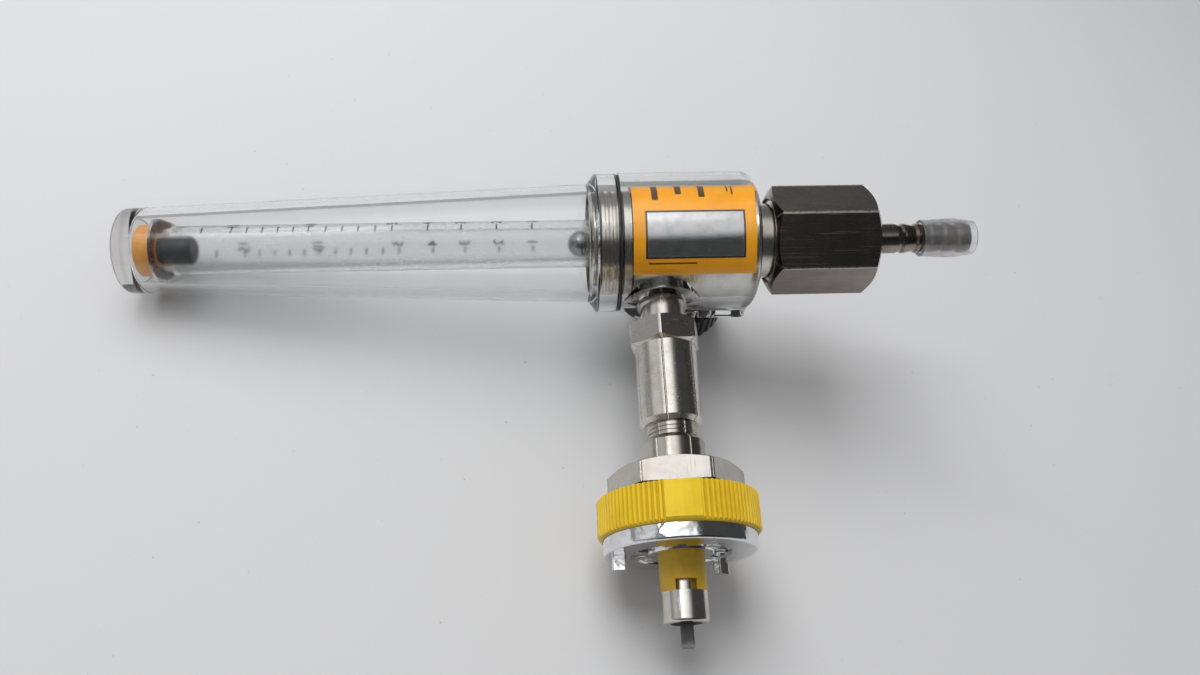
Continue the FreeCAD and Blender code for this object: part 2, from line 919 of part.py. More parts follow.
def screw_places(radius, start, stop):
    """One rod at each of the face plate's screws."""
    rods = []
    for number in range(plate_screws_count):
        bar = Part.makeCylinder(radius, stop - start, Vector(plate_screw_place_r, 0, start))
        bar.rotate(Vector(0, 0, 0), Vector(0, 0, 1), whole_turn / plate_screws_count * number)
        rods.append(place_on(bar, inlet_axis))
    return rods


def ring_outline(radius, rib_depth):
    """The colour ring's ribbed outline: smooth pads with bays of ribs between them."""
    pad_r = radius + ring_pad_rise
    pad_half = math.degrees(math.asin(ring_pad_width / 2 / pad_r))
    bay = whole_turn / ring_pads - 2 * pad_half
    rib = bay / ring_ribs_per_bay
    points = []

    def add(r, degrees):
        angle = math.radians(degrees)
        points.append(Vector(r * math.cos(angle), r * math.sin(angle), 0))

    for pad in range(ring_pads):
        centre = ring_turn + whole_turn / ring_pads * pad
        for share in (-1.0, -0.5, 0.0, 0.5, 1.0):
            add(pad_r, centre + share * pad_half)
        start = centre + pad_half
        for number in range(ring_ribs_per_bay):
            add(radius - rib_depth, start + (number + 0.10) * rib)
            add(radius - rib_depth, start + (number + 0.35) * rib)
            add(radius, start + (number + 0.55) * rib)
            add(radius, start + (number + 0.90) * rib)
    points.append(points[0])
    return Part.makePolygon(points)


def colour_ring():
    blank = Part.Face(ring_outline(ring_r, ring_rib_depth)).extrude(Vector(0, 0, ring_length))
    blank.translate(Vector(0, 0, ring_start_y))
    outer = ring_r + 2 * ring_pad_rise
    ring_end_y = ring_start_y + ring_length
    envelope = turned(
        [
            (hub_barrel_r + seat_gap, ring_start_y),
            (outer - ring_back_bevel, ring_start_y),
            (outer, ring_start_y + ring_back_bevel),
            (outer, ring_end_y - ring_bevel),
            (outer - ring_bevel, ring_end_y),
            (hub_barrel_r + seat_gap, ring_end_y),
        ]
    )
    return place_on(blank.common(envelope), inlet_axis)


def lug(angle):
    """An index lug; its angle runs from straight up towards the knob side."""
    bar = Part.makeBox(lug_width, lug_height + disc_edge, lug_radial)
    bar.translate(Vector(-lug_width / 2, seating_y - disc_edge, lug_place_r - lug_radial / 2))
    standing = [edge for edge in bar.Edges if edge.BoundBox.YLength > lug_height / 2]
    bar = bar.makeFillet(lug_round, standing)
    bar.rotate(Vector(0, 0, 0), Vector(0, 1, 0), angle)
    return bar


def face_plate():
    disc = turned(
        [
            (sleeve_tail_r + seat_gap, disc_back_y),
            (disc_r, disc_back_y),
            (disc_r, seating_y),
            (disc_recess_outer_r, seating_y),
            (disc_recess_outer_r - fine_edge, seating_y - disc_recess_depth),
            (disc_recess_inner_r + fine_edge, seating_y - disc_recess_depth),
            (disc_recess_inner_r, seating_y),
            (sleeve_tail_r + seat_gap, seating_y),
        ],
        inlet_axis,
        rounds={2: disc_edge},
    )
    disc = disc.fuse([lug(0), lug(lug_second_angle)])
    floor_y = seating_y - disc_recess_depth
    cuts = screw_places(plate_screw_r + seat_gap, disc_back_y, seating_y)
    cuts += screw_places(plate_screw_head_r + seat_gap, floor_y - plate_screw_head, seating_y)
    return disc.cut(Part.makeCompound(cuts)).removeSplitter()


def plate_screws():
    floor_y = seating_y - disc_recess_depth
    head_y = floor_y - plate_screw_head
    shanks = screw_places(plate_screw_r - press_gap, hub_end_y - plate_screw_length + seat_gap, head_y)
    heads = screw_places(plate_screw_head_r, head_y, floor_y)
    screws = []
    for number in range(plate_screws_count):
        screw = shanks[number].fuse(heads[number])
        slot = Part.makeBox(2 * plate_screw_head_r, plate_screw_slot, plate_screw_slot)
        slot.translate(
            Vector(
                plate_screw_place_r - plate_screw_head_r,
                -plate_screw_slot / 2,
                floor_y - plate_screw_slot,
            )
        )
        slot.rotate(Vector(0, 0, 0), Vector(0, 0, 1), whole_turn / plate_screws_count * number)
        screws.append(screw.cut(place_on(slot, inlet_axis)).removeSplitter())
    return Part.makeCompound(screws)


def probe_stem():
    return turned(
        [
            (probe_bore_r, probe_stem_y),
            (probe_stem_r, probe_stem_y),
            (probe_stem_r, sleeve_end_y),
            (nose_r, sleeve_end_y),
            (nose_r, nose_end_y),
            (nose_recess_r, nose_end_y),
            (nose_recess_r, nose_end_y - nose_recess_depth),
            (probe_bore_r, nose_end_y - nose_recess_depth),
        ],
        inlet_axis,
        rounds={4: nose_round},
    )


def probe_o_ring():
    return ring_seal(
        probe_ring_section_r, probe_stem_r + seat_gap + probe_ring_section_r, probe_ring_y, inlet_axis
    )


def probe_sleeve():
    sleeve = turned(
        [
            (probe_stem_r + press_gap, sleeve_start_y),
            (sleeve_tail_r, sleeve_start_y),
            (sleeve_tail_r, seating_y),
            (sleeve_r, seating_y),
            (sleeve_r, sleeve_end_y),
            (probe_stem_r + press_gap, sleeve_end_y),
        ],
        inlet_axis,
    )
    slot = Part.makeBox(
        sleeve_r + overrun,
        sleeve_slot_depth,
        sleeve_slot_width,
        Vector(-sleeve_r - overrun, sleeve_end_y - sleeve_slot_depth, -sleeve_slot_width / 2),
    )
    return sleeve.cut(slot)


def probe_seal():
    start = nose_end_y - nose_recess_depth
    washer = rod(nose_recess_r - seat_gap, start, start + probe_seal_thickness, inlet_axis)
    return washer.cut(rod(probe_bore_r, start, start + probe_seal_thickness, inlet_axis))


def probe_pin():
    pin = Part.makeBox(
        pin_thickness,
        pin_length,
        pin_width,
        Vector(-pin_thickness / 2, nose_end_y + pin_reach - pin_length, -pin_width / 2),
    )
    tip = [edge for edge in pin.Edges if edge.BoundBox.YMin > nose_end_y + pin_reach - fine_edge / 2]
    return pin.makeFillet(fine_edge, tip)


nodes = {
    "valve_body": valve_body,
    "body_shell": body_shell,
    "label": label,
    "serial_plate": serial_plate,
    "cover_gasket": cover_gasket,
    "outer_cover": outer_cover,
    "flow_tube": flow_tube,
    "foot_o_ring": foot_o_ring,
    "ball_seat": ball_seat,
    "float_ball": float_ball,
    "float_stop": float_stop,
    "top_plug": top_plug,
    "valve_bonnet": valve_bonnet,
    "stem_o_ring": stem_o_ring,
    "needle_stem": needle_stem,
    "knob": knob,
    "knob_screw": knob_screw,
    "hex_nut": hex_nut,
    "nipple": nipple,
    "tubing_stub": tubing_stub,
    "outlet_o_ring": outlet_o_ring,
    "inlet_pipe": inlet_pipe,
    "inlet_coupling": inlet_coupling,
    "inlet_filter": inlet_filter,
    "filter_washer": filter_washer,
    "adapter_hub": adapter_hub,
    "colour_ring": colour_ring,
    "face_plate": face_plate,
    "plate_screws": plate_screws,
    "probe_stem": probe_stem,
    "probe_o_ring": probe_o_ring,
    "probe_sleeve": probe_sleeve,
    "probe_seal": probe_seal,
    "probe_pin": probe_pin,
}

os.makedirs("parts", exist_ok=True)
for name, make in nodes.items():
    piece = make()
    piece.translate(Vector(0, -seating_y, 0))
    piece.exportStep(f"parts/{name}.step")
    box = piece.BoundBox
    print(f"{name:16s} solids {len(piece.Solids)} valid {piece.isValid()} "
          f"volume {piece.Volume:9.2f} z {box.ZMin:8.2f} to {box.ZMax:8.2f}")
print(f"tube axis at y = {-seating_y:.2f}")
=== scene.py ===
import math
import bpy
from mathutils import Matrix, Vector


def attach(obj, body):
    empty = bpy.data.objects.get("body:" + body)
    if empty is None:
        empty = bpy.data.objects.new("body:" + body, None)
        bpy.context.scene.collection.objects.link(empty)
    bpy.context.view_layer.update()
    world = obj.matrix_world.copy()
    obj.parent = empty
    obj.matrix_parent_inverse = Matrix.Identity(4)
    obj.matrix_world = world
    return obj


# Medical air flowmeter: the CAD solids get their materials, and the printed scale, the cast relief
# of the face plate, the ridges of the hub's thread and the knob's mark are modelled on them.

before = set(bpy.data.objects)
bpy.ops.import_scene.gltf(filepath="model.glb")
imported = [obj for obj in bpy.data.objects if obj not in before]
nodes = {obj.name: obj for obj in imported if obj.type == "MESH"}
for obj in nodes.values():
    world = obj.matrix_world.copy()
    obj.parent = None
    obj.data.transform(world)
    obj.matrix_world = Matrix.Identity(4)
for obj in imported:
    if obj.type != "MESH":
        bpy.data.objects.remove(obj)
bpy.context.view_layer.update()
print("frame loaded:", len(nodes), "nodes")

# The part's sizes are given in mm and divided into metres; table, lamps and camera are in metres
mmPerMetre = 1000

# The part's three axes, in mm: a point on the axis, the two directions across it and the one along
axes = {
    "tube": {"centre": (0.0, -72.55, 0.0), "across": ("X", "Y"), "along": "Z"},
    "inlet": {"centre": (0.0, 0.0, 0.0), "across": ("X", "Z"), "along": "Y"},
    "valve": {"centre": (0.0, -72.55, -8.0), "across": ("Y", "Z"), "along": "X"},
}
tubeY = axes["tube"]["centre"][1] / mmPerMetre
valveZ = axes["valve"]["centre"][2] / mmPerMetre


# Shader helpers

def addNode(tree, kind, values=None, **settings):
    made = tree.nodes.new(kind)
    for name, value in settings.items():
        setattr(made, name, value)
    for name, value in (values or {}).items():
        if isinstance(value, bpy.types.NodeSocket):
            tree.links.new(value, made.inputs[name])
        else:
            made.inputs[name].default_value = value
    return made


def calc(tree, operation, first, second=0.0, third=0.0):
    return addNode(tree, "ShaderNodeMath", {0: first, 1: second, 2: third}, operation=operation).outputs[0]


def ramp(tree, value, low, high, toLow=0.0, toHigh=1.0):
    values = {"Value": value, "From Min": low, "From Max": high, "To Min": toLow, "To Max": toHigh}
    made = addNode(tree, "ShaderNodeMapRange", values, interpolation_type="SMOOTHSTEP")
    return made.outputs["Result"]


def mixColour(tree, share, first, second):
    made = addNode(tree, "ShaderNodeMix", data_type="RGBA")
    for slot, value in (("Factor_Float", share), ("A_Color", first), ("B_Color", second)):
        socket = next(s for s in made.inputs if s.identifier == slot)
        if isinstance(value, bpy.types.NodeSocket):
            tree.links.new(value, socket)
        elif slot == "Factor_Float":
            socket.default_value = value
        else:
            socket.default_value = (*value, 1.0)
    return next(s for s in made.outputs if s.identifier == "Result_Color")


def noise(tree, vector, scale, detail, roughness=0.5):
    values = {"Vector": vector, "Scale": scale, "Detail": detail, "Roughness": roughness}
    return addNode(tree, "ShaderNodeTexNoise", values).outputs[0]


def lineNoise(tree, value, scale, detail):
    values = {"W": value, "Scale": scale, "Detail": detail}
    return addNode(tree, "ShaderNodeTexNoise", values, noise_dimensions="1D").outputs[0]


def stretched(tree, vector, scale):
    return addNode(tree, "ShaderNodeMapping", {"Vector": vector, "Scale": scale}).outputs[0]


def bump(tree, height, depthMm, strength, under=None):
    values = {"Height": height, "Strength": strength, "Distance": depthMm / mmPerMetre}
    if under is not None:
        values["Normal"] = under
    return addNode(tree, "ShaderNodeBump", values).outputs[0]


def axisPlace(tree, axis):
    # object coordinates in mm, counted from one of the part's axes
    given = axes[axis]
    coordinates = addNode(tree, "ShaderNodeTexCoord").outputs["Object"]
    centred = [-distance for distance in given["centre"]]
    values = {"Vector": coordinates, "Scale": (mmPerMetre,) * 3, "Location": centred}
    point = addNode(tree, "ShaderNodeMapping", values).outputs[0]
    split = addNode(tree, "ShaderNodeSeparateXYZ", {"Vector": point}).outputs
    first, second = (split[name] for name in given["across"])
    angle = calc(tree, "ARCTAN2", second, first)
    radius = calc(
        tree, "SQRT", calc(tree, "MULTIPLY_ADD", first, first, calc(tree, "MULTIPLY", second, second))
    )
    return {
        "point": point, "along": split[given["along"]], "angle": angle, "radius": radius,
        "first": first, "second": second,
    }


def between(tree, value, low, high, soft):
    rising = ramp(tree, value, low - soft, low + soft)
    falling = ramp(tree, value, high - soft, high + soft, 1.0, 0.0)
    return calc(tree, "MULTIPLY", rising, falling)


def largest(tree, *values):
    total = values[0]
    for value in values[1:]:
        total = calc(tree, "MAXIMUM", total, value)
    return total


def startMaterial(name, **plain):
    material = bpy.data.materials.new(name)
    material.use_nodes = True
    tree = material.node_tree
    shader = tree.nodes["Principled BSDF"]
    for socket, value in plain.items():
        shader.inputs[socket.replace("_", " ")].default_value = value
    return material, tree, shader


def finishMaterial(tree, shader, colour, roughness=None, normal=None):
    for socket, value in (("Base Color", colour), ("Roughness", roughness), ("Normal", normal)):
        if value is not None:
            tree.links.new(value, shader.inputs[socket])


def mixSurface(tree, share, shader, other):
    mixed = addNode(tree, "ShaderNodeMixShader", {0: share, 1: shader.outputs[0], 2: other}).outputs[0]
    output = next(n for n in tree.nodes if n.type == "OUTPUT_MATERIAL")
    tree.links.new(mixed, output.inputs["Surface"])


# Metals

nickelLook = {
    "colour": (0.74, 0.71, 0.66), "tarnish": (0.5, 0.45, 0.39), "worn": (0.86, 0.85, 0.82),
    "roughness": (0.11, 0.25), "cloudPerMm": 0.16, "tarnishShare": 0.65, "pitsPerMm": 1.1, "pitShare": 0.8,
    "grainPerMm": 3.0, "grainDepth": 0.0025,
    # marks of the lathe round the bar, scratches, and fine lines along the bar
    "ringsPerMm": 3.2, "ringDepth": 0.006, "ringRoughness": 0.08,
    "scratch": (0.12, 0.12, 2.2), "scratchesPerMm": 1.3, "scratchDepth": 0.006, "scratchRoughness": 0.12,
    "drawn": 0.0, "drawnStretch": (5.0, 5.0, 0.07), "drawnPerMm": 1.2, "drawnRoughness": 0.1,
    # a hexagon's turn in degrees, how far its corners are rounded in mm, and how they are worn
    "hexTurn": None, "cornerRound": 0.12, "wearPerMm": 1.4, "wearRoughness": 0.1,
    # each thread's start, stop, pitch, depth and outside radius
    "threads": (),
    # the knurl's start and stop, then the middle and half width of its patch in degrees
    "knurl": None, "knurlR": 6.75, "knurlsPerMm": 1.1, "knurlDepth": 0.07, "knurlShare": 0.6,
}


def wornCorners(tree, place, look, colour, roughness, normal):
    # the corners of a hexagon are rounded and rubbed bright
    turned = calc(tree, "SUBTRACT", place["angle"], math.radians(look["hexTurn"]))
    corner = calc(tree, "PINGPONG", turned, math.radians(30))
    normal = bump(tree, ramp(tree, corner, 0.0, 0.04), look["cornerRound"], 1.0, normal)
    wear = noise(tree, place["point"], look["wearPerMm"], 3.0)
    worn = ramp(tree, corner, 0.0, 0.035, 1.0, 0.0)
    worn = calc(tree, "MULTIPLY", worn, ramp(tree, wear, 0.3, 0.55))
    colour = mixColour(tree, worn, colour, look["worn"])
    roughness = calc(tree, "MULTIPLY_ADD", worn, look["wearRoughness"], roughness)
    return colour, roughness, normal


def threadRidges(tree, place, thread, normal):
    # the thread's ridges, only where the radius is under its outside one
    start, stop, pitch, depth, outside = thread
    around = calc(tree, "MULTIPLY", place["angle"], 1 / math.tau)
    wave = calc(tree, "PINGPONG", calc(tree, "MULTIPLY_ADD", place["along"], 1 / pitch, around), 0.5)
    wave = calc(tree, "MULTIPLY", wave, between(tree, place["along"], start, stop, 0.1))
    wave = calc(tree, "MULTIPLY", wave, ramp(tree, place["radius"], outside, outside + 0.2, 1.0, 0.0))
    return bump(tree, wave, depth, 1.0, normal)


def knurlPatch(tree, place, look, colour, normal):
    start, stop, centre, half = look["knurl"]
    arc = calc(tree, "MULTIPLY", place["angle"], look["knurlR"])
    rising = calc(tree, "MULTIPLY", calc(tree, "ADD", arc, place["along"]), look["knurlsPerMm"])
    falling = calc(tree, "MULTIPLY", calc(tree, "SUBTRACT", arc, place["along"]), look["knurlsPerMm"])
    first = calc(tree, "PINGPONG", rising, 0.5)
    second = calc(tree, "PINGPONG", falling, 0.5)
    away = calc(tree, "ABSOLUTE", calc(tree, "SUBTRACT", place["angle"], math.radians(centre)))
    patch = ramp(tree, away, math.radians(half) * 0.8, math.radians(half), 1.0, 0.0)
    patch = calc(tree, "MULTIPLY", patch, between(tree, place["along"], start, stop, 0.3))
    hatch = calc(tree, "MULTIPLY", calc(tree, "MINIMUM", first, second), patch)
    normal = bump(tree, hatch, look["knurlDepth"], 1.0, normal)
    colour = mixColour(tree, calc(tree, "MULTIPLY", patch, look["knurlShare"]), colour, look["tarnish"])
    return colour, normal


def turnedNickel(name, axis, **changes):
    look = {**nickelLook, **changes}
    material, tree, shader = startMaterial(name, Metallic=1.0)
    place = axisPlace(tree, axis)
    rings = lineNoise(tree, place["along"], look["ringsPerMm"], 4.0)
    cloud = noise(tree, place["point"], look["cloudPerMm"], 4.0, 0.6)
    grain = noise(tree, place["point"], look["grainPerMm"], 3.0, 0.7)
    scratchPoint = stretched(tree, place["point"], look["scratch"])
    scratches = ramp(tree, noise(tree, scratchPoint, look["scratchesPerMm"], 2.0, 0.4), 0.67, 0.71)
    pits = ramp(tree, noise(tree, place["point"], look["pitsPerMm"], 2.0, 0.5), 0.77, 0.8)
    tarnish = calc(tree, "MULTIPLY", ramp(tree, cloud, 0.38, 0.72), look["tarnishShare"])
    tarnish = largest(tree, tarnish, calc(tree, "MULTIPLY", pits, look["pitShare"]))
    colour = mixColour(tree, tarnish, look["colour"], look["tarnish"])
    low, high = look["roughness"]
    roughness = calc(tree, "MULTIPLY_ADD", cloud, high - low, low)
    roughness = calc(tree, "MULTIPLY_ADD", scratches, look["scratchRoughness"], roughness)
    roughness = calc(tree, "MULTIPLY_ADD", rings, look["ringRoughness"], roughness)
    if look["drawn"]:
        drawnPoint = stretched(tree, place["point"], look["drawnStretch"])
        drawn = ramp(tree, noise(tree, drawnPoint, look["drawnPerMm"], 4.0, 0.7), 0.56, 0.72)
        colour = mixColour(tree, calc(tree, "MULTIPLY", drawn, look["drawn"]), colour, look["worn"])
        roughness = calc(tree, "MULTIPLY_ADD", drawn, look["drawnRoughness"], roughness)
    normal = bump(tree, rings, look["ringDepth"], 0.6)
    normal = bump(tree, grain, look["grainDepth"], 0.5, normal)
    normal = bump(tree, scratches, look["scratchDepth"], 0.5, normal)
    if look["hexTurn"] is not None:
        colour, roughness, normal = wornCorners(tree, place, look, colour, roughness, normal)
    for thread in look["threads"]:
        normal = threadRidges(tree, place, thread, normal)
    if look["knurl"]:
        colour, normal = knurlPatch(tree, place, look, colour, normal)
    finishMaterial(tree, shader, colour, roughness, normal)
    return material


chromeLook = {
    "bright": (0.86, 0.87, 0.88), "smudged": (0.66, 0.66, 0.67), "pitted": (0.2, 0.18, 0.16),
    "roughness": (0.05, 0.2), "smudgesPerMm": 0.22, "pitsPerMm": 1.6,
    "swellsPerMm": 0.3, "swellDepth": 0.34, "grainPerMm": 2.2, "grainDepth": 0.012,
}


def castChrome(name, axis):
    look = chromeLook
    material, tree, shader = startMaterial(name, Metallic=1.0)
    place = axisPlace(tree, axis)
    swell = noise(tree, place["point"], look["swellsPerMm"], 2.0, 0.45)
    grain = noise(tree, place["point"], look["grainPerMm"], 3.0, 0.6)
    smudge = noise(tree, place["point"], look["smudgesPerMm"], 5.0, 0.65)
    pits = ramp(tree, noise(tree, place["point"], look["pitsPerMm"], 1.0, 0.5), 0.76, 0.8)
    colour = mixColour(tree, ramp(tree, smudge, 0.45, 0.75), look["bright"], look["smudged"])
    colour = mixColour(tree, pits, colour, look["pitted"])
    roughness = ramp(tree, smudge, 0.35, 0.75, *look["roughness"])
    normal = bump(tree, swell, look["swellDepth"], 0.8)
    normal = bump(tree, grain, look["grainDepth"], 0.6, normal)
    finishMaterial(tree, shader, colour, roughness, normal)
    return material


steelLook = {
    "light": (0.66, 0.66, 0.67), "dark": (0.42, 0.41, 0.4), "roughness": (0.16, 0.34), "cloudPerMm": 0.5,
    "dragStretch": (0.2, 3.0, 3.0), "dragPerMm": 1.4, "dragDepth": 0.01,
}


def steel(name, axis, **changes):
    look = {**steelLook, **changes}
    material, tree, shader = startMaterial(name, Metallic=1.0)
    place = axisPlace(tree, axis)
    cloud = noise(tree, place["point"], look["cloudPerMm"], 4.0, 0.6)
    drag = noise(tree, stretched(tree, place["point"], look["dragStretch"]), look["dragPerMm"], 3.0, 0.5)
    colour = mixColour(tree, ramp(tree, cloud, 0.4, 0.75), look["light"], look["dark"])
    roughness = ramp(tree, drag, 0.3, 0.7, *look["roughness"])
    finishMaterial(tree, shader, colour, roughness, bump(tree, drag, look["dragDepth"], 0.5))
    return material


# Clear and frosted plastics

def letLampsThrough(tree, shader, tint):
    # lamps shine through, tinted by a plain colour or by one worked out along the piece
    shadowRay = addNode(tree, "ShaderNodeLightPath").outputs["Is Shadow Ray"]
    given = tint if isinstance(tint, bpy.types.NodeSocket) else (*tint, 1.0)
    clear = addNode(tree, "ShaderNodeBsdfTransparent", {"Color": given}).outputs[0]
    mixSurface(tree, shadowRay, shader, clear)


clearLook = {
    "colour": (0.985, 0.99, 0.988), "film": (0.95, 0.965, 0.96), "roughness": (0.01, 0.05),
    "filmPerMm": 0.09, "scuffsPerMm": 1.1, "scuffDepth": 0.004, "scuffRoughness": 0.22,
    "flowStretch": (1.0, 1.0, 0.12), "flowPerMm": 0.35, "flowDepth": 0.02,
    # the solid end starts at thickFrom, and the wall's own lamp tint darkens from wallFrom to there
    "thickFrom": None, "thickColour": (0.72, 0.705, 0.69), "wallFrom": 55.0, "thickTint": (0.78, 0.78, 0.78),
}


def clearPlastic(name, axis, **changes):
    look = {**clearLook, **changes}
    material, tree, shader = startMaterial(name, IOR=1.49, Transmission_Weight=1.0)
    place = axisPlace(tree, axis)
    scuffField = noise(tree, stretched(tree, place["point"], look["drag"]), look["scuffsPerMm"], 3.0, 0.5)
    scuffs = ramp(tree, scuffField, 0.66, 0.74)
    film = noise(tree, place["point"], look["filmPerMm"], 4.0, 0.6)
    flow = noise(tree, stretched(tree, place["point"], look["flowStretch"]), look["flowPerMm"], 2.0, 0.5)
    colour = mixColour(tree, ramp(tree, film, 0.3, 0.8), look["colour"], look["film"])
    lampTint = look["lampTint"]
    if look["thickFrom"]:
        thick = ramp(tree, place["along"], look["thickFrom"], look["thickFrom"] + 1.0)
        colour = mixColour(tree, thick, colour, look["thickColour"])
        wall = ramp(tree, place["along"], look["wallFrom"], look["thickFrom"])
        lampTint = mixColour(tree, wall, lampTint, look["thickTint"])
    roughness = ramp(tree, film, 0.3, 0.8, *look["roughness"])
    roughness = calc(tree, "MULTIPLY_ADD", scuffs, look["scuffRoughness"], roughness)
    normal = bump(tree, flow, look["flowDepth"], 0.5)
    normal = bump(tree, scuffs, look["scuffDepth"], 0.5, normal)
    finishMaterial(tree, shader, colour, roughness, normal)
    letLampsThrough(tree, shader, lampTint)
    return material


frostedLook = {
    "colour": (0.98, 0.99, 0.99), "cloud": (0.95, 0.965, 0.965), "roughness": (0.22, 0.28),
    "cloudPerMm": 0.3, "grainPerMm": 5.0, "grainDepth": 0.025, "lampTint": (0.99, 0.995, 0.995),
}


def frostedPlastic(name):
    look = frostedLook
    material, tree, shader = startMaterial(name, IOR=1.25, Transmission_Weight=0.99)
    place = axisPlace(tree, "tube")
    grain = noise(tree, place["point"], look["grainPerMm"], 3.0, 0.7)
    cloud = noise(tree, stretched(tree, place["point"], (1, 1, 0.25)), look["cloudPerMm"], 4.0, 0.6)
    colour = mixColour(tree, cloud, look["colour"], look["cloud"])
    roughness = ramp(tree, cloud, 0.3, 0.7, *look["roughness"])
    finishMaterial(tree, shader, colour, roughness, bump(tree, grain, look["grainDepth"], 0.7))
    letLampsThrough(tree, shader, look["lampTint"])
    return material


tubingLook = {
    "colour": (0.9, 0.91, 0.92), "cloud": (0.74, 0.745, 0.75), "roughness": (0.1, 0.26),
    "cloudPerMm": 0.5, "streaksPerMm": 1.0, "streakDepth": 0.04, "lampTint": (0.75, 0.75, 0.74),
}


def softTubing(name):
    look = tubingLook
    material, tree, shader = startMaterial(name, IOR=1.42, Transmission_Weight=0.94)
    place = axisPlace(tree, "tube")
    cloud = noise(tree, place["point"], look["cloudPerMm"], 4.0, 0.6)
    streakPoint = stretched(tree, place["point"], (1.6, 1.6, 0.2))
    streaks = noise(tree, streakPoint, look["streaksPerMm"], 3.0, 0.5)
    colour = mixColour(tree, ramp(tree, cloud, 0.35, 0.7), look["colour"], look["cloud"])
    roughness = ramp(tree, streaks, 0.3, 0.7, *look["roughness"])
    finishMaterial(tree, shader, colour, roughness, bump(tree, streaks, look["streakDepth"], 0.6))
    letLampsThrough(tree, shader, look["lampTint"])
    return material


# Opaque plastics, rubber, print

mouldedLook = {
    # among the shares is the strength of the painted shade between the ribs
    "cloudPerMm": 0.2, "dustPerMm": 1.7, "dustShare": 0.5, "paintedValleyShadeShare": 0.55, "scuffsPerMm": 1.2,
    "scuffStretch": (0.5, 2.2, 0.5), "scuffShare": 0.35, "scuffDepth": 0.008, "scuffRoughness": 0.12,
}


def mouldedPlastic(name, axis, changes):
    look = {**mouldedLook, **changes}
    material, tree, shader = startMaterial(name, IOR=1.5)
    place = axisPlace(tree, axis)
    grain = noise(tree, place["point"], look["grainPerMm"], 3.0, 0.65)
    cloud = noise(tree, place["point"], look["cloudPerMm"], 4.0, 0.6)
    scuffPoint = stretched(tree, place["point"], look["scuffStretch"])
    scuffs = ramp(tree, noise(tree, scuffPoint, look["scuffsPerMm"], 3.0, 0.5), 0.68, 0.76)
    dust = ramp(tree, noise(tree, place["point"], look["dustPerMm"], 1.0, 0.5), 0.77, 0.8)
    colour = mixColour(tree, ramp(tree, cloud, 0.35, 0.7), look["colour"], look["shade"])
    colour = mixColour(tree, calc(tree, "MULTIPLY", scuffs, look["scuffShare"]), colour, look["scuff"])
    colour = mixColour(tree, calc(tree, "MULTIPLY", dust, look["dustShare"]), colour, look["dust"])
    if "valley" in look:
        # painted shade between the ribs: a darker yellow from one radius to the other
        low, high = look["valley"]
        paintedValleyShade = ramp(tree, place["radius"], low, high, 1.0, 0.0)
        colour = mixColour(tree, calc(tree, "MULTIPLY", paintedValleyShade, look["paintedValleyShadeShare"]), colour, look["paintedValleyShade"])
    low, high = look["roughness"]
    roughness = calc(tree, "MULTIPLY_ADD", cloud, high - low, low)
    roughness = calc(tree, "MULTIPLY_ADD", scuffs, look["scuffRoughness"], roughness)
    normal = bump(tree, grain, look["grainDepth"], 0.7)
    normal = bump(tree, scuffs, look["scuffDepth"], 0.5, normal)
    finishMaterial(tree, shader, colour, roughness, normal)
    return material


plasticLooks = {
    "yellowRing": {
        "colour": (0.78, 0.55, 0.02), "shade": (0.72, 0.47, 0.015), "scuff": (0.86, 0.7, 0.2),
        # painted shade between the ribs: a darker yellow laid in between the two radii given here
        "dust": (0.3, 0.2, 0.05), "paintedValleyShade": (0.42, 0.25, 0.01), "valley": (16.0, 16.4),
        "roughness": (0.32, 0.5), "grainPerMm": 2.5, "grainDepth": 0.02,
    },
    "yellowSleeve": {
        "colour": (0.64, 0.4, 0.025), "shade": (0.52, 0.31, 0.015), "scuff": (0.68, 0.52, 0.14),
        "dust": (0.2, 0.14, 0.04), "roughness": (0.36, 0.55), "grainPerMm": 2.5, "grainDepth": 0.02,
    },
    "knob": {
        "colour": (0.008, 0.008, 0.009), "shade": (0.014, 0.014, 0.015), "scuff": (0.07, 0.07, 0.07),
        "dust": (0.2, 0.195, 0.18), "roughness": (0.3, 0.45), "grainPerMm": 3.0, "grainDepth": 0.02,
    },
    "stop": {
        "colour": (0.02, 0.021, 0.024), "shade": (0.035, 0.036, 0.04), "scuff": (0.1, 0.1, 0.1),
        "dust": (0.2, 0.2, 0.2), "roughness": (0.35, 0.5), "grainPerMm": 3.0, "grainDepth": 0.01,
    },
    "amber": {
        "colour": (0.86, 0.4, 0.1), "shade": (0.74, 0.31, 0.06), "scuff": (0.9, 0.6, 0.3),
        "dust": (0.3, 0.15, 0.05), "roughness": (0.18, 0.32), "grainPerMm": 1.5, "grainDepth": 0.01,
    },
    "rubber": {
        "colour": (0.02, 0.02, 0.021), "shade": (0.035, 0.034, 0.033), "scuff": (0.09, 0.09, 0.088),
        "dust": (0.22, 0.21, 0.2), "roughness": (0.55, 0.75), "grainPerMm": 4.0, "grainDepth": 0.03,
    },
    "washer": {
        "colour": (0.8, 0.8, 0.78), "shade": (0.7, 0.69, 0.66), "scuff": (0.85, 0.85, 0.84),
        "dust": (0.4, 0.38, 0.35), "roughness": (0.4, 0.6), "grainPerMm": 2.0, "grainDepth": 0.01,
    },
    "print": {
        "colour": (0.012, 0.012, 0.014), "shade": (0.03, 0.03, 0.033), "scuff": (0.12, 0.12, 0.12),
        "dust": (0.2, 0.2, 0.2), "roughness": (0.4, 0.6), "grainPerMm": 5.0, "grainDepth": 0.006,
    },
    "whiteMark": {
        "colour": (0.78, 0.78, 0.76), "shade": (0.68, 0.68, 0.65), "scuff": (0.5, 0.5, 0.48),
        "dust": (0.3, 0.3, 0.28), "roughness": (0.4, 0.6), "grainPerMm": 4.0, "grainDepth": 0.01,
    },
}


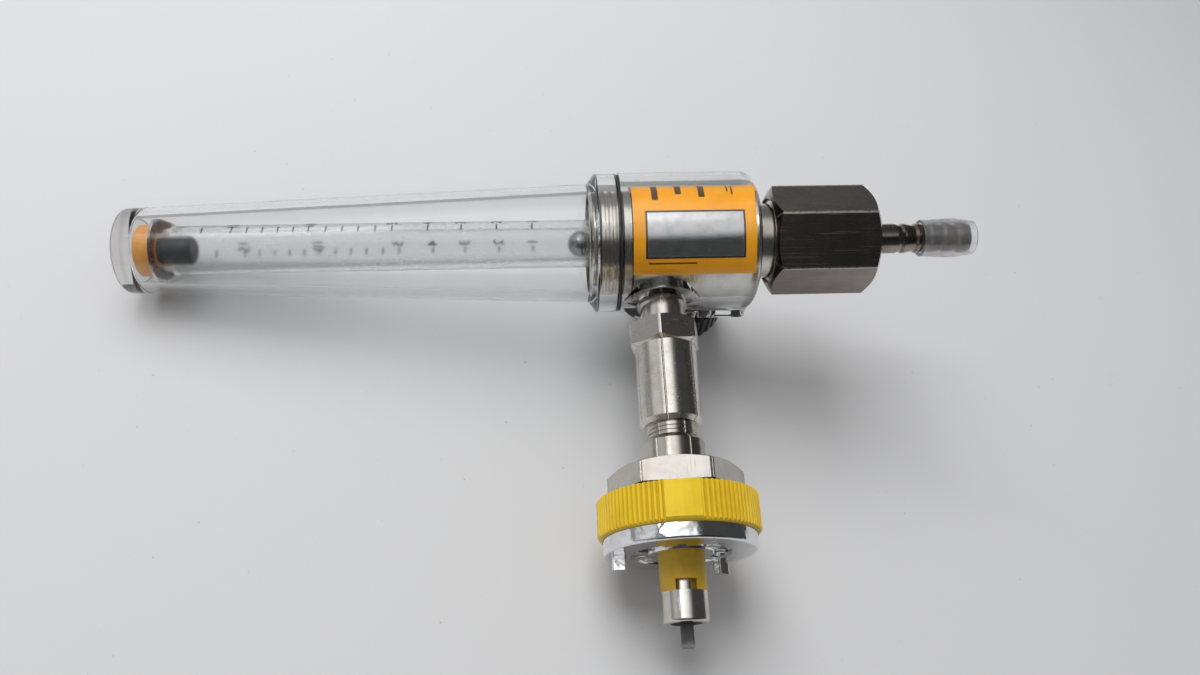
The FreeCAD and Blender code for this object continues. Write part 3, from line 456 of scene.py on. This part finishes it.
pinLook = {
    **plasticLooks["knob"], "colour": (0.035, 0.034, 0.034), "shade": (0.06, 0.055, 0.05),
    # bare metal at the tip: its colour, share, the heights where it starts, and its ragged edge
    "bare": (0.36, 0.33, 0.31), "bareShare": 0.5, "bareFrom": (17.6, 19.0), "raggedMm": 2.4,
    "raggedPerMm": 1.1,
}


def wornPin(name):
    look = pinLook
    material = mouldedPlastic(name, "inlet", look)
    tree = material.node_tree
    shader = tree.nodes["Principled BSDF"]
    place = axisPlace(tree, "inlet")
    ragged = noise(tree, place["point"], look["raggedPerMm"], 4.0, 0.6)
    edge = calc(tree, "MULTIPLY_ADD", ragged, look["raggedMm"], place["along"])
    bare = calc(tree, "MULTIPLY", ramp(tree, edge, *look["bareFrom"]), look["bareShare"])
    colour = shader.inputs["Base Color"].links[0].from_socket
    finishMaterial(tree, shader, mixColour(tree, bare, colour, look["bare"]))
    return material


bronzeLook = {
    "bead": (0.56, 0.36, 0.19), "gap": (0.16, 0.09, 0.05), "roughness": (0.35, 0.7), "beadsPerMm": 3.2,
    "beadDepth": 0.12,
}


def sinteredBronze(name):
    look = bronzeLook
    material, tree, shader = startMaterial(name, Metallic=1.0)
    place = axisPlace(tree, "inlet")
    values = {"Vector": place["point"], "Scale": look["beadsPerMm"]}
    beads = addNode(tree, "ShaderNodeTexVoronoi", values).outputs["Distance"]
    colour = mixColour(tree, ramp(tree, beads, 0.2, 0.6), look["bead"], look["gap"])
    roughness = ramp(tree, beads, 0.1, 0.6, *look["roughness"])
    finishMaterial(tree, shader, colour, roughness, bump(tree, beads, -look["beadDepth"], 0.9))
    return material


def labelArc(tree, place):
    # degrees round the tube's axis, counted from -X towards +Y
    across = calc(tree, "MULTIPLY", place["first"], -1.0)
    return calc(tree, "MULTIPLY", calc(tree, "ARCTAN2", place["second"], across), 180 / math.pi)


labelLook = {
    "orange": (1.0, 0.43, 0.01), "shade": (0.94, 0.38, 0.008), "print": (0.05, 0.028, 0.015),
    "roughness": (0.3, 0.45), "cloudPerMm": 0.25, "fibresPerMm": 4.0, "fibreDepth": 0.006,
    # each bar's arc in degrees, then its heights in mm
    "bars": (
        (-62.0, -11.0, 0.9, 2.3), (-62.0, -18.0, -4.4, -3.0), (-34.0, -14.0, -9.6, -8.2),
        (-62.0, -21.0, -15.0, -14.6), (-62.0, -17.0, -16.0, -15.6), (-62.0, -30.0, -17.0, -16.6),
        (49.6, 51.2, -7.4, 3.4),
    ),
    "softArc": 0.25, "softEdge": 0.06,
}


def labelFilm(name):
    look = labelLook
    material, tree, shader = startMaterial(name, IOR=1.45, Specular_IOR_Level=0.2)
    place = axisPlace(tree, "tube")
    arc = labelArc(tree, place)
    marks = []
    for start, stop, low, high in look["bars"]:
        inArc = between(tree, arc, start, stop, look["softArc"])
        inHeight = between(tree, place["along"], low, high, look["softEdge"])
        marks.append(calc(tree, "MULTIPLY", inArc, inHeight))
    cloud = noise(tree, place["point"], look["cloudPerMm"], 4.0, 0.6)
    fibre = noise(tree, place["point"], look["fibresPerMm"], 2.0, 0.6)
    ink = calc(tree, "MULTIPLY", largest(tree, *marks), ramp(tree, fibre, 0.2, 0.35, 0.75, 0.95))
    colour = mixColour(tree, ramp(tree, cloud, 0.3, 0.7), look["orange"], look["shade"])
    colour = mixColour(tree, ink, colour, look["print"])
    roughness = ramp(tree, cloud, 0.3, 0.7, *look["roughness"])
    finishMaterial(tree, shader, colour, roughness, bump(tree, fibre, look["fibreDepth"], 0.5))
    return material


foilLook = {
    "silver": (0.8, 0.8, 0.81), "dull": (0.66, 0.67, 0.68), "frame": (0.02, 0.02, 0.022),
    # the panel's arc in degrees and its heights and border in mm
    "arc": (0.8, 45.8), "height": (-18.1, 4.0), "border": 0.42, "degreesPerMm": 4.42,
    "softArc": 0.2, "softEdge": 0.05, "roughness": (0.14, 0.2), "cloudPerMm": 0.4,
    "dragStretch": (3.0, 3.0, 0.12), "dragPerMm": 1.6, "dragDepth": 0.002,
}


def foilPanel(name):
    look = foilLook
    material, tree, shader = startMaterial(name, Metallic=1.0)
    place = axisPlace(tree, "tube")
    start, stop = look["arc"]
    low, high = look["height"]
    edge = look["border"]
    turn = edge * look["degreesPerMm"]
    inArc = between(tree, labelArc(tree, place), start + turn, stop - turn, look["softArc"])
    inHeight = between(tree, place["along"], low + edge, high - edge, look["softEdge"])
    field = calc(tree, "MULTIPLY", inArc, inHeight)
    drag = noise(tree, stretched(tree, place["point"], look["dragStretch"]), look["dragPerMm"], 3.0, 0.5)
    cloud = noise(tree, place["point"], look["cloudPerMm"], 3.0, 0.6)
    silver = mixColour(tree, ramp(tree, cloud, 0.4, 0.8), look["silver"], look["dull"])
    colour = mixColour(tree, field, look["frame"], silver)
    tree.links.new(field, shader.inputs["Metallic"])
    roughness = ramp(tree, drag, 0.3, 0.7, *look["roughness"])
    finishMaterial(tree, shader, colour, roughness, bump(tree, drag, look["dragDepth"], 0.5))
    return material


print("shader functions ready")

nickelBody = turnedNickel(
    "nickelBody", "tube", threads=((-39.4, -26.3, 1.5875, 0.5, 9.5),), ringDepth=0.003
)
nickelInlet = turnedNickel("nickelInlet", "inlet", ringsPerMm=2.4)
nickelCoupling = turnedNickel(
    "nickelCoupling", "inlet", hexTurn=-13.0, knurl=(-42.8, -28.4, -140.0, 11.0), scratch=(0.5, 2.0, 0.5)
)
nickelHub = turnedNickel(
    "nickelHub", "inlet", hexTurn=-35.7, worn=(0.68, 0.655, 0.62), colour=(0.58, 0.55, 0.505),
    tarnish=(0.42, 0.375, 0.32),
)
nickelProbe = turnedNickel("nickelProbe", "inlet", ringsPerMm=4.0, ringDepth=0.02)
nickelBonnet = turnedNickel("nickelBonnet", "valve")
nickelNipple = turnedNickel(
    "nickelNipple", "tube", colour=(0.36, 0.315, 0.28), tarnish=(0.2, 0.165, 0.145), roughness=(0.08, 0.18)
)
nickelNut = turnedNickel(
    "nickelNut", "tube", colour=(0.34, 0.3, 0.275), tarnish=(0.24, 0.205, 0.185), roughness=(0.14, 0.24),
    hexTurn=-0.8, worn=(0.66, 0.62, 0.57), ringsPerMm=0.2, ringDepth=0.001, scratch=(2.2, 2.2, 0.05),
    drawn=0.35, threads=((-44.0, -26.6, 1.5875, 0.5, 10.1),),
)

finishes = {
    "valve_body": nickelBody,
    "ball_seat": nickelBody,
    "valve_bonnet": nickelBonnet,
    "inlet_pipe": nickelInlet,
    "inlet_coupling": nickelCoupling,
    "adapter_hub": nickelHub,
    "probe_stem": nickelProbe,
    "nipple": nickelNipple,
    "hex_nut": nickelNut,
    "body_shell": clearPlastic(
        "clearShell", "tube", drag=(0.5, 0.5, 1.2), lampTint=(0.94, 0.945, 0.945)
    ),
    "outer_cover": clearPlastic(
        "clearCover", "tube", drag=(1.8, 1.8, 0.1), lampTint=(0.91, 0.915, 0.915), thickFrom=117.2
    ),
    "flow_tube": frostedPlastic("frostedTube"),
    "tubing_stub": softTubing("softTubing"),
    "label": labelFilm("labelFilm"),
    "serial_plate": foilPanel("foilPanel"),
    "float_ball": steel("ballSteel", "tube", light=(0.5, 0.5, 0.51), dark=(0.36, 0.36, 0.36)),
    "float_stop": mouldedPlastic("stopBlack", "tube", plasticLooks["stop"]),
    "top_plug": mouldedPlastic("plugAmber", "tube", plasticLooks["amber"]),
    "knob": mouldedPlastic("knobBlack", "valve", plasticLooks["knob"]),
    "knob_screw": steel("screwSteel", "valve"),
    "needle_stem": steel("needleSteel", "valve"),
    "colour_ring": mouldedPlastic("ringYellow", "inlet", plasticLooks["yellowRing"]),
    "probe_sleeve": mouldedPlastic("sleeveYellow", "inlet", plasticLooks["yellowSleeve"]),
    "face_plate": castChrome("castChrome", "inlet"),
    "plate_screws": steel("plateScrewSteel", "inlet"),
    "probe_pin": wornPin("pinBlack"),
    "inlet_filter": sinteredBronze("sinteredBronze"),
    "filter_washer": mouldedPlastic("washerWhite", "inlet", plasticLooks["washer"]),
}
rubberBlack = mouldedPlastic("rubberBlack", "tube", plasticLooks["rubber"])
for name in ("cover_gasket", "foot_o_ring", "outlet_o_ring", "stem_o_ring", "probe_o_ring", "probe_seal"):
    finishes[name] = rubberBlack
for name, material in finishes.items():
    data = nodes[name].data
    data.materials.clear()
    data.materials.append(material)
print("materials on", len(finishes), "of", len(nodes), "nodes")


# Modelling helpers

def deselectAll():
    if bpy.context.object and bpy.context.object.mode != "OBJECT":
        bpy.ops.object.mode_set(mode="OBJECT")
    bpy.ops.object.select_all(action="DESELECT")


def active(piece):
    deselectAll()
    piece.select_set(True)
    bpy.context.view_layer.objects.active = piece


def applyPlace(piece):
    active(piece)
    bpy.ops.object.transform_apply(location=True, rotation=True, scale=True)


def applyModifier(piece, name):
    active(piece)
    bpy.ops.object.modifier_apply(modifier=name)


def joinPieces(pieces, name):
    deselectAll()
    for piece in pieces:
        piece.select_set(True)
    bpy.context.view_layer.objects.active = pieces[0]
    if len(pieces) > 1:
        bpy.ops.object.join()
    joined = bpy.context.object
    joined.name = name
    return joined


def copyTurned(piece, degrees, axisName):
    copied = piece.copy()
    copied.data = piece.data.copy()
    bpy.context.collection.objects.link(copied)
    copied.matrix_world = Matrix.Rotation(math.radians(degrees), 4, axisName)
    applyPlace(copied)
    return copied


def tidyMesh(piece, mergeMm=0.001):
    active(piece)
    bpy.ops.object.mode_set(mode="EDIT")
    bpy.ops.mesh.select_all(action="SELECT")
    bpy.ops.mesh.remove_doubles(threshold=mergeMm / mmPerMetre)
    bpy.ops.mesh.normals_make_consistent(inside=False)
    bpy.ops.object.mode_set(mode="OBJECT")


def dress(piece, material, body, smooth=30):
    piece.data.materials.clear()
    piece.data.materials.append(material)
    active(piece)
    bpy.ops.object.shade_smooth_by_angle(angle=math.radians(smooth))
    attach(piece, body)


# The scale printed on the flow tube: ticks and numerals on both sides of the float's path.
# Heights are in mm along the tube, turns in degrees from the tube's front.

scaleSizes = {
    "numbered": {29.0: "1", 37.0: "2", 45.0: "3", 52.5: "4", 60.5: "5", 79.0: "10", 96.0: "15"},
    "plain": (64.2, 68.0, 71.6, 75.2, 82.4, 85.8, 89.2, 92.6, 102.5),
    "tickLength": 1.9, "tickWidth": 0.36, "tickTurn": 72.0, "tickCuts": 5,
    "numeralSize": 3.4, "numeralFat": 0.04, "numeralTurn": 51.0, "numeralCuts": 2,
    "standOff": 9.0, "lift": 0.03, "thickness": 0.04,
}


def wrapOnTube(mark, turn, height, cuts):
    # stood in front of the tube, turned about its axis, laid on it and given the ink's thickness
    around = math.radians(turn)
    away = scaleSizes["standOff"] / mmPerMetre
    mark.rotation_euler = (0, 0, around)
    mark.location = (away * math.sin(around), tubeY - away * math.cos(around), height / mmPerMetre)
    active(mark)
    bpy.ops.object.mode_set(mode="EDIT")
    bpy.ops.mesh.select_all(action="SELECT")
    bpy.ops.mesh.subdivide(number_cuts=cuts)
    bpy.ops.object.mode_set(mode="OBJECT")
    wrap = mark.modifiers.new("wrap", "SHRINKWRAP")
    wrap.target = nodes["flow_tube"]
    wrap.wrap_method = "PROJECT"
    wrap.use_project_y = True
    wrap.offset = scaleSizes["lift"] / mmPerMetre
    applyModifier(mark, "wrap")
    ink = mark.modifiers.new("ink", "SOLIDIFY")
    ink.thickness = scaleSizes["thickness"] / mmPerMetre
    ink.offset = 0.0
    applyModifier(mark, "ink")
    applyPlace(mark)


def makeTick():
    deselectAll()
    bpy.ops.mesh.primitive_plane_add(size=1 / mmPerMetre, rotation=(math.radians(90), 0, 0))
    tick = bpy.context.object
    tick.scale = (scaleSizes["tickLength"], scaleSizes["tickWidth"], 1.0)
    applyPlace(tick)
    return tick


def makeNumeral(figures):
    deselectAll()
    bpy.ops.object.text_add(rotation=(math.radians(90), 0, 0))
    words = bpy.context.object
    words.data.body = figures
    words.data.size = scaleSizes["numeralSize"] / mmPerMetre
    words.data.align_x = "CENTER"
    words.data.align_y = "CENTER"
    words.data.resolution_u = 4
    words.data.offset = scaleSizes["numeralFat"] / mmPerMetre
    bpy.ops.object.convert(target="MESH")
    numeral = bpy.context.object
    applyPlace(numeral)
    tidyMesh(numeral)
    return numeral


def makeScale():
    marks = []
    heights = sorted(list(scaleSizes["numbered"]) + list(scaleSizes["plain"]))
    for side in (-1, 1):
        for height in heights:
            tick = makeTick()
            wrapOnTube(tick, side * scaleSizes["tickTurn"], height, scaleSizes["tickCuts"])
            marks.append(tick)
        for height, figures in scaleSizes["numbered"].items():
            numeral = makeNumeral(figures)
            wrapOnTube(numeral, side * scaleSizes["numeralTurn"], height, scaleSizes["numeralCuts"])
            marks.append(numeral)
    scale = joinPieces(marks, "scalePrint")
    dress(scale, mouldedPlastic("printBlack", "tube", plasticLooks["print"]), "body")
    return scale


scalePrint = makeScale()
print("scale printed:", len(scalePrint.data.polygons), "faces")


# Cast relief in the face plate's recess, clear of its three screws

reliefSizes = {
    "innerR": 7.2, "outerR": 9.6, "span": 19.0, "steps": 8, "floorY": -0.52, "height": 0.4, "bevel": 0.12,
    "places": (0, 30, 60, 120, 150, 180, 240, 270, 300),
}


def middleRadius(sizes):
    return (sizes["innerR"] + sizes["outerR"]) / 2


def spunPad(sizes, axis):
    # a radial section, spun through the pad's span; the section stands on the +Z side of the axis
    height = sizes["height"]
    width = sizes["outerR"] - sizes["innerR"]
    deselectAll()
    if axis == "Y":
        bpy.ops.mesh.primitive_plane_add(size=1 / mmPerMetre, rotation=(0, math.radians(90), 0))
        bpy.context.object.scale = (width, height, 1.0)
    else:
        bpy.ops.mesh.primitive_plane_add(size=1 / mmPerMetre, rotation=(math.radians(90), 0, 0))
        bpy.context.object.scale = (height, width, 1.0)
    pad = bpy.context.object
    pad.location = (0, 0, middleRadius(sizes) / mmPerMetre)
    applyPlace(pad)
    bpy.ops.object.mode_set(mode="EDIT")
    bpy.ops.mesh.select_all(action="SELECT")
    direction = (0, 1, 0) if axis == "Y" else (1, 0, 0)
    turn = math.radians(sizes["span"])
    bpy.ops.mesh.spin(steps=sizes["steps"], angle=turn, center=(0, 0, 0), axis=direction)
    bpy.ops.object.mode_set(mode="OBJECT")
    tidyMesh(pad)
    return pad


def makeRelief():
    sizes = reliefSizes
    pad = spunPad(sizes, "Y")
    pad.location = (0, (sizes["floorY"] + sizes["height"] / 2) / mmPerMetre, 0)
    applyPlace(pad)
    soften = pad.modifiers.new("soften", "BEVEL")
    soften.width = sizes["bevel"] / mmPerMetre
    soften.segments = 2
    soften.angle_limit = math.radians(50)
    applyModifier(pad, "soften")
    pads = [copyTurned(pad, place, "Y") for place in sizes["places"]]
    bpy.data.objects.remove(pad)
    relief = joinPieces(pads, "faceRelief")
    dress(relief, finishes["face_plate"], "body")
    return relief


faceRelief = makeRelief()
print("face plate relief:", len(faceRelief.data.polygons), "faces")


# The ridges of the hub's thread, where it shows behind the coupling

threadSizes = {"startY": -27.2, "turns": 4, "pitch": 0.9, "middleR": 5.16, "ridge": 0.26, "steps": 48}


def makeHubThread():
    sizes = threadSizes
    deselectAll()
    # a three-cornered ridge, its point outwards, screwed round the axis
    bpy.ops.mesh.primitive_circle_add(
        vertices=3, radius=sizes["ridge"] / mmPerMetre, fill_type="NOTHING",
        rotation=(math.radians(90), math.radians(90), 0),
    )
    ridge = bpy.context.object
    ridge.location = (sizes["middleR"] / mmPerMetre, 0, 0)
    applyPlace(ridge)
    screw = ridge.modifiers.new("screw", "SCREW")
    screw.axis = "Z"
    screw.screw_offset = sizes["pitch"] / mmPerMetre
    screw.iterations = sizes["turns"]
    screw.steps = sizes["steps"]
    screw.render_steps = sizes["steps"]
    applyModifier(ridge, "screw")
    bpy.ops.object.mode_set(mode="EDIT")
    bpy.ops.mesh.select_all(action="SELECT")
    bpy.ops.mesh.fill_holes(sides=3)
    bpy.ops.object.mode_set(mode="OBJECT")
    tidyMesh(ridge)
    ridge.rotation_euler = (math.radians(-90), 0, 0)
    ridge.location = (0, sizes["startY"] / mmPerMetre, 0)
    applyPlace(ridge)
    ridge.name = "hubThread"
    dress(ridge, nickelHub, "body", smooth=60)
    return ridge


hubThread = makeHubThread()
print("hub thread:", len(hubThread.data.polygons), "faces")


# A plain double arrow for turning, raised on the knob's face

markSizes = {
    "innerR": 6.5, "outerR": 7.3, "span": 210.0, "steps": 40, "floorX": 29.98, "height": 0.22, "head": 1.25,
}


def makeKnobMark():
    sizes = markSizes
    parts = [spunPad(sizes, "X")]
    for turn, flip in ((0.0, 0.0), (sizes["span"], 180.0)):
        deselectAll()
        bpy.ops.mesh.primitive_cylinder_add(
            vertices=3, radius=sizes["head"] / mmPerMetre, depth=sizes["height"] / mmPerMetre,
            rotation=(math.radians(flip), math.radians(90), 0),
            location=(0, 0, middleRadius(sizes) / mmPerMetre),
        )
        head = bpy.context.object
        applyPlace(head)
        head.rotation_euler = (math.radians(turn), 0, 0)
        applyPlace(head)
        parts.append(head)
    mark = joinPieces(parts, "knobMark")
    mark.location = ((sizes["floorX"] + sizes["height"] / 2) / mmPerMetre, tubeY, valveZ)
    applyPlace(mark)
    dress(mark, mouldedPlastic("markWhite", "valve", plasticLooks["whiteMark"]), "knob")
    return mark


knobMark = makeKnobMark()
print("knob mark:", len(knobMark.data.polygons), "faces")


# Table, lamps, world and camera

tableLook = {
    # the table's slope: the part lies on its knob, ring and cover end
    "tilt": (1.0, 0.231, 0.19), "clearance": 0.0002, "size": 5.0,
    "colour": (0.62, 0.622, 0.63), "shade": (0.59, 0.592, 0.602), "roughness": 0.6, "cloudPerMetre": 9.0,
    "speck": (0.3, 0.27, 0.25), "speckShare": 0.5, "specksPerMetre": 900.0,
}


def makeTable():
    look = tableLook
    slope = Vector(look["tilt"])
    lowest = max(
        slope.dot(Vector(corner.co)) for node in nodes.values() for corner in node.data.vertices
    )
    normal = -slope.normalized()
    foot = normal * (-(lowest / slope.length + look["clearance"]))
    deselectAll()
    bpy.ops.mesh.primitive_plane_add(size=look["size"])
    table = bpy.context.object
    table.name = "table"
    table.matrix_world = Matrix.Translation(foot) @ normal.to_track_quat("Z", "Y").to_matrix().to_4x4()
    material, tree, shader = startMaterial("paleTable")
    coordinates = addNode(tree, "ShaderNodeTexCoord").outputs["Object"]
    cloud = noise(tree, coordinates, look["cloudPerMetre"], 3.0, 0.5)
    specks = ramp(tree, noise(tree, coordinates, look["specksPerMetre"], 0.0, 0.5), 0.875, 0.885)
    colour = mixColour(tree, cloud, look["colour"], look["shade"])
    colour = mixColour(tree, calc(tree, "MULTIPLY", specks, look["speckShare"]), colour, look["speck"])
    shader.inputs["Roughness"].default_value = look["roughness"]
    finishMaterial(tree, shader, colour)
    # seen from behind, the table lets light and sight through
    backface = addNode(tree, "ShaderNodeNewGeometry").outputs["Backfacing"]
    clear = addNode(tree, "ShaderNodeBsdfTransparent").outputs[0]
    mixSurface(tree, backface, shader, clear)
    table.data.materials.append(material)


# the lamps light the surfaces; what the metal and the clear plastic mirror is the world
lampAim = (0.0, -0.05, 0.01)
lamps = {
    "key": {"place": (-0.56, -0.48, 0.08), "width": 0.60, "height": 0.45, "watts": 4.9},
    "left": {"place": (-0.35, -0.05, 0.75), "width": 0.60, "height": 0.50, "watts": 0.35},
    "behind": {"place": (0.60, 0.15, 0.10), "width": 0.5, "height": 0.5, "watts": 1.2},
}


def makeLamps():
    aim = Vector(lampAim)
    for name, look in lamps.items():
        data = bpy.data.lights.new(name, "AREA")
        data.shape = "RECTANGLE"
        data.size = look["width"]
        data.size_y = look["height"]
        data.energy = look["watts"]
        lamp = bpy.data.objects.new(name, data)
        lamp.visible_glossy = False
        lamp.visible_transmission = False
        bpy.context.collection.objects.link(lamp)
        place = Vector(look["place"])
        lamp.location = place
        lamp.rotation_euler = (aim - place).to_track_quat("-Z", "Y").to_euler()


worldLook = {
    "colour": (1.0, 1.0, 1.01), "seen": 0.62, "fill": 0.39, "reflected": 0.27, "least": 0.02,
    # direction, strength, and how near to it the patch starts and ends
    "patches": (
        ((-0.87, -0.47, 0.1), 0.86, 0.89, 0.98), ((-1.0, 0.0, 0.0), 0.56, 0.88, 0.98),
        ((-0.79, -0.61, 0.07), 0.35, 0.97, 0.99), ((-0.92, -0.18, 0.36), 3.0, 0.988, 0.996),
        ((-0.55, -0.35, 0.76), 0.4, 0.93, 0.985), ((-0.1, -0.97, 0.15), 0.08, 0.6, 0.92),
    ),
    "shades": (((-0.61, 0.79, -0.1), 0.22, 0.6, 0.88), ((-0.2, -0.3, -0.93), 0.22, 0.15, 0.7)),
}


def makeWorld():
    world = bpy.data.worlds.new("studio")
    bpy.context.scene.world = world
    world.use_nodes = True
    tree = world.node_tree
    background = next(n for n in tree.nodes if n.type == "BACKGROUND")
    direction = addNode(tree, "ShaderNodeTexCoord").outputs["Generated"]
    level = worldLook["reflected"]
    for sign, patches in ((1, worldLook["patches"]), (-1, worldLook["shades"])):
        for towards, strength, outer, inner in patches:
            values = {0: direction, 1: Vector(towards).normalized()}
            aimed = addNode(tree, "ShaderNodeVectorMath", values, operation="DOT_PRODUCT").outputs["Value"]
            level = calc(tree, "MULTIPLY_ADD", ramp(tree, aimed, outer, inner), sign * strength, level)
    level = calc(tree, "MAXIMUM", level, worldLook["least"])
    # what is seen straight or through clear plastic is plain; what metal mirrors has the patches
    path = addNode(tree, "ShaderNodeLightPath").outputs
    unmirrored = calc(tree, "LESS_THAN", path["Glossy Depth"], 0.5)
    straight = calc(tree, "MULTIPLY", path["Is Transmission Ray"], unmirrored)
    seen = largest(tree, path["Is Camera Ray"], straight)
    mirrored = largest(tree, path["Is Glossy Ray"], path["Is Transmission Ray"])
    strength = calc(tree, "MULTIPLY", seen, worldLook["seen"])
    others = calc(tree, "SUBTRACT", 1.0, seen)
    glossy = calc(tree, "MULTIPLY", calc(tree, "MULTIPLY", mirrored, others), level)
    rest = calc(tree, "MULTIPLY", others, calc(tree, "SUBTRACT", 1.0, mirrored))
    diffuse = calc(tree, "MULTIPLY", rest, worldLook["fill"])
    total = calc(tree, "ADD", strength, calc(tree, "ADD", glossy, diffuse))
    tree.links.new(total, background.inputs["Strength"])
    background.inputs["Color"].default_value = (*worldLook["colour"], 1.0)


cameraLook = {
    "place": (-0.18145, 0.0355, 0.02436), "lens": 27.03, "sensor": 36.0, "clipStart": 0.005,
    "right": (-0.0363, 0.0405, -0.9985), "forward": (0.9066, -0.419, -0.05),
}


def makeCamera():
    data = bpy.data.cameras.new("camera")
    data.lens = cameraLook["lens"]
    data.sensor_width = cameraLook["sensor"]
    data.clip_start = cameraLook["clipStart"]
    camera = bpy.data.objects.new("camera", data)
    bpy.context.collection.objects.link(camera)
    forward = Vector(cameraLook["forward"]).normalized()
    right = Vector(cameraLook["right"])
    right = (right - forward * right.dot(forward)).normalized()
    up = right.cross(forward)
    turn = Matrix((right, up, -forward)).transposed()
    camera.matrix_world = Matrix.Translation(cameraLook["place"]) @ turn.to_4x4()
    bpy.context.scene.camera = camera


makeTable()
makeLamps()
makeWorld()
makeCamera()
bpy.context.scene.view_settings.view_transform = "Standard"
print("stage set")
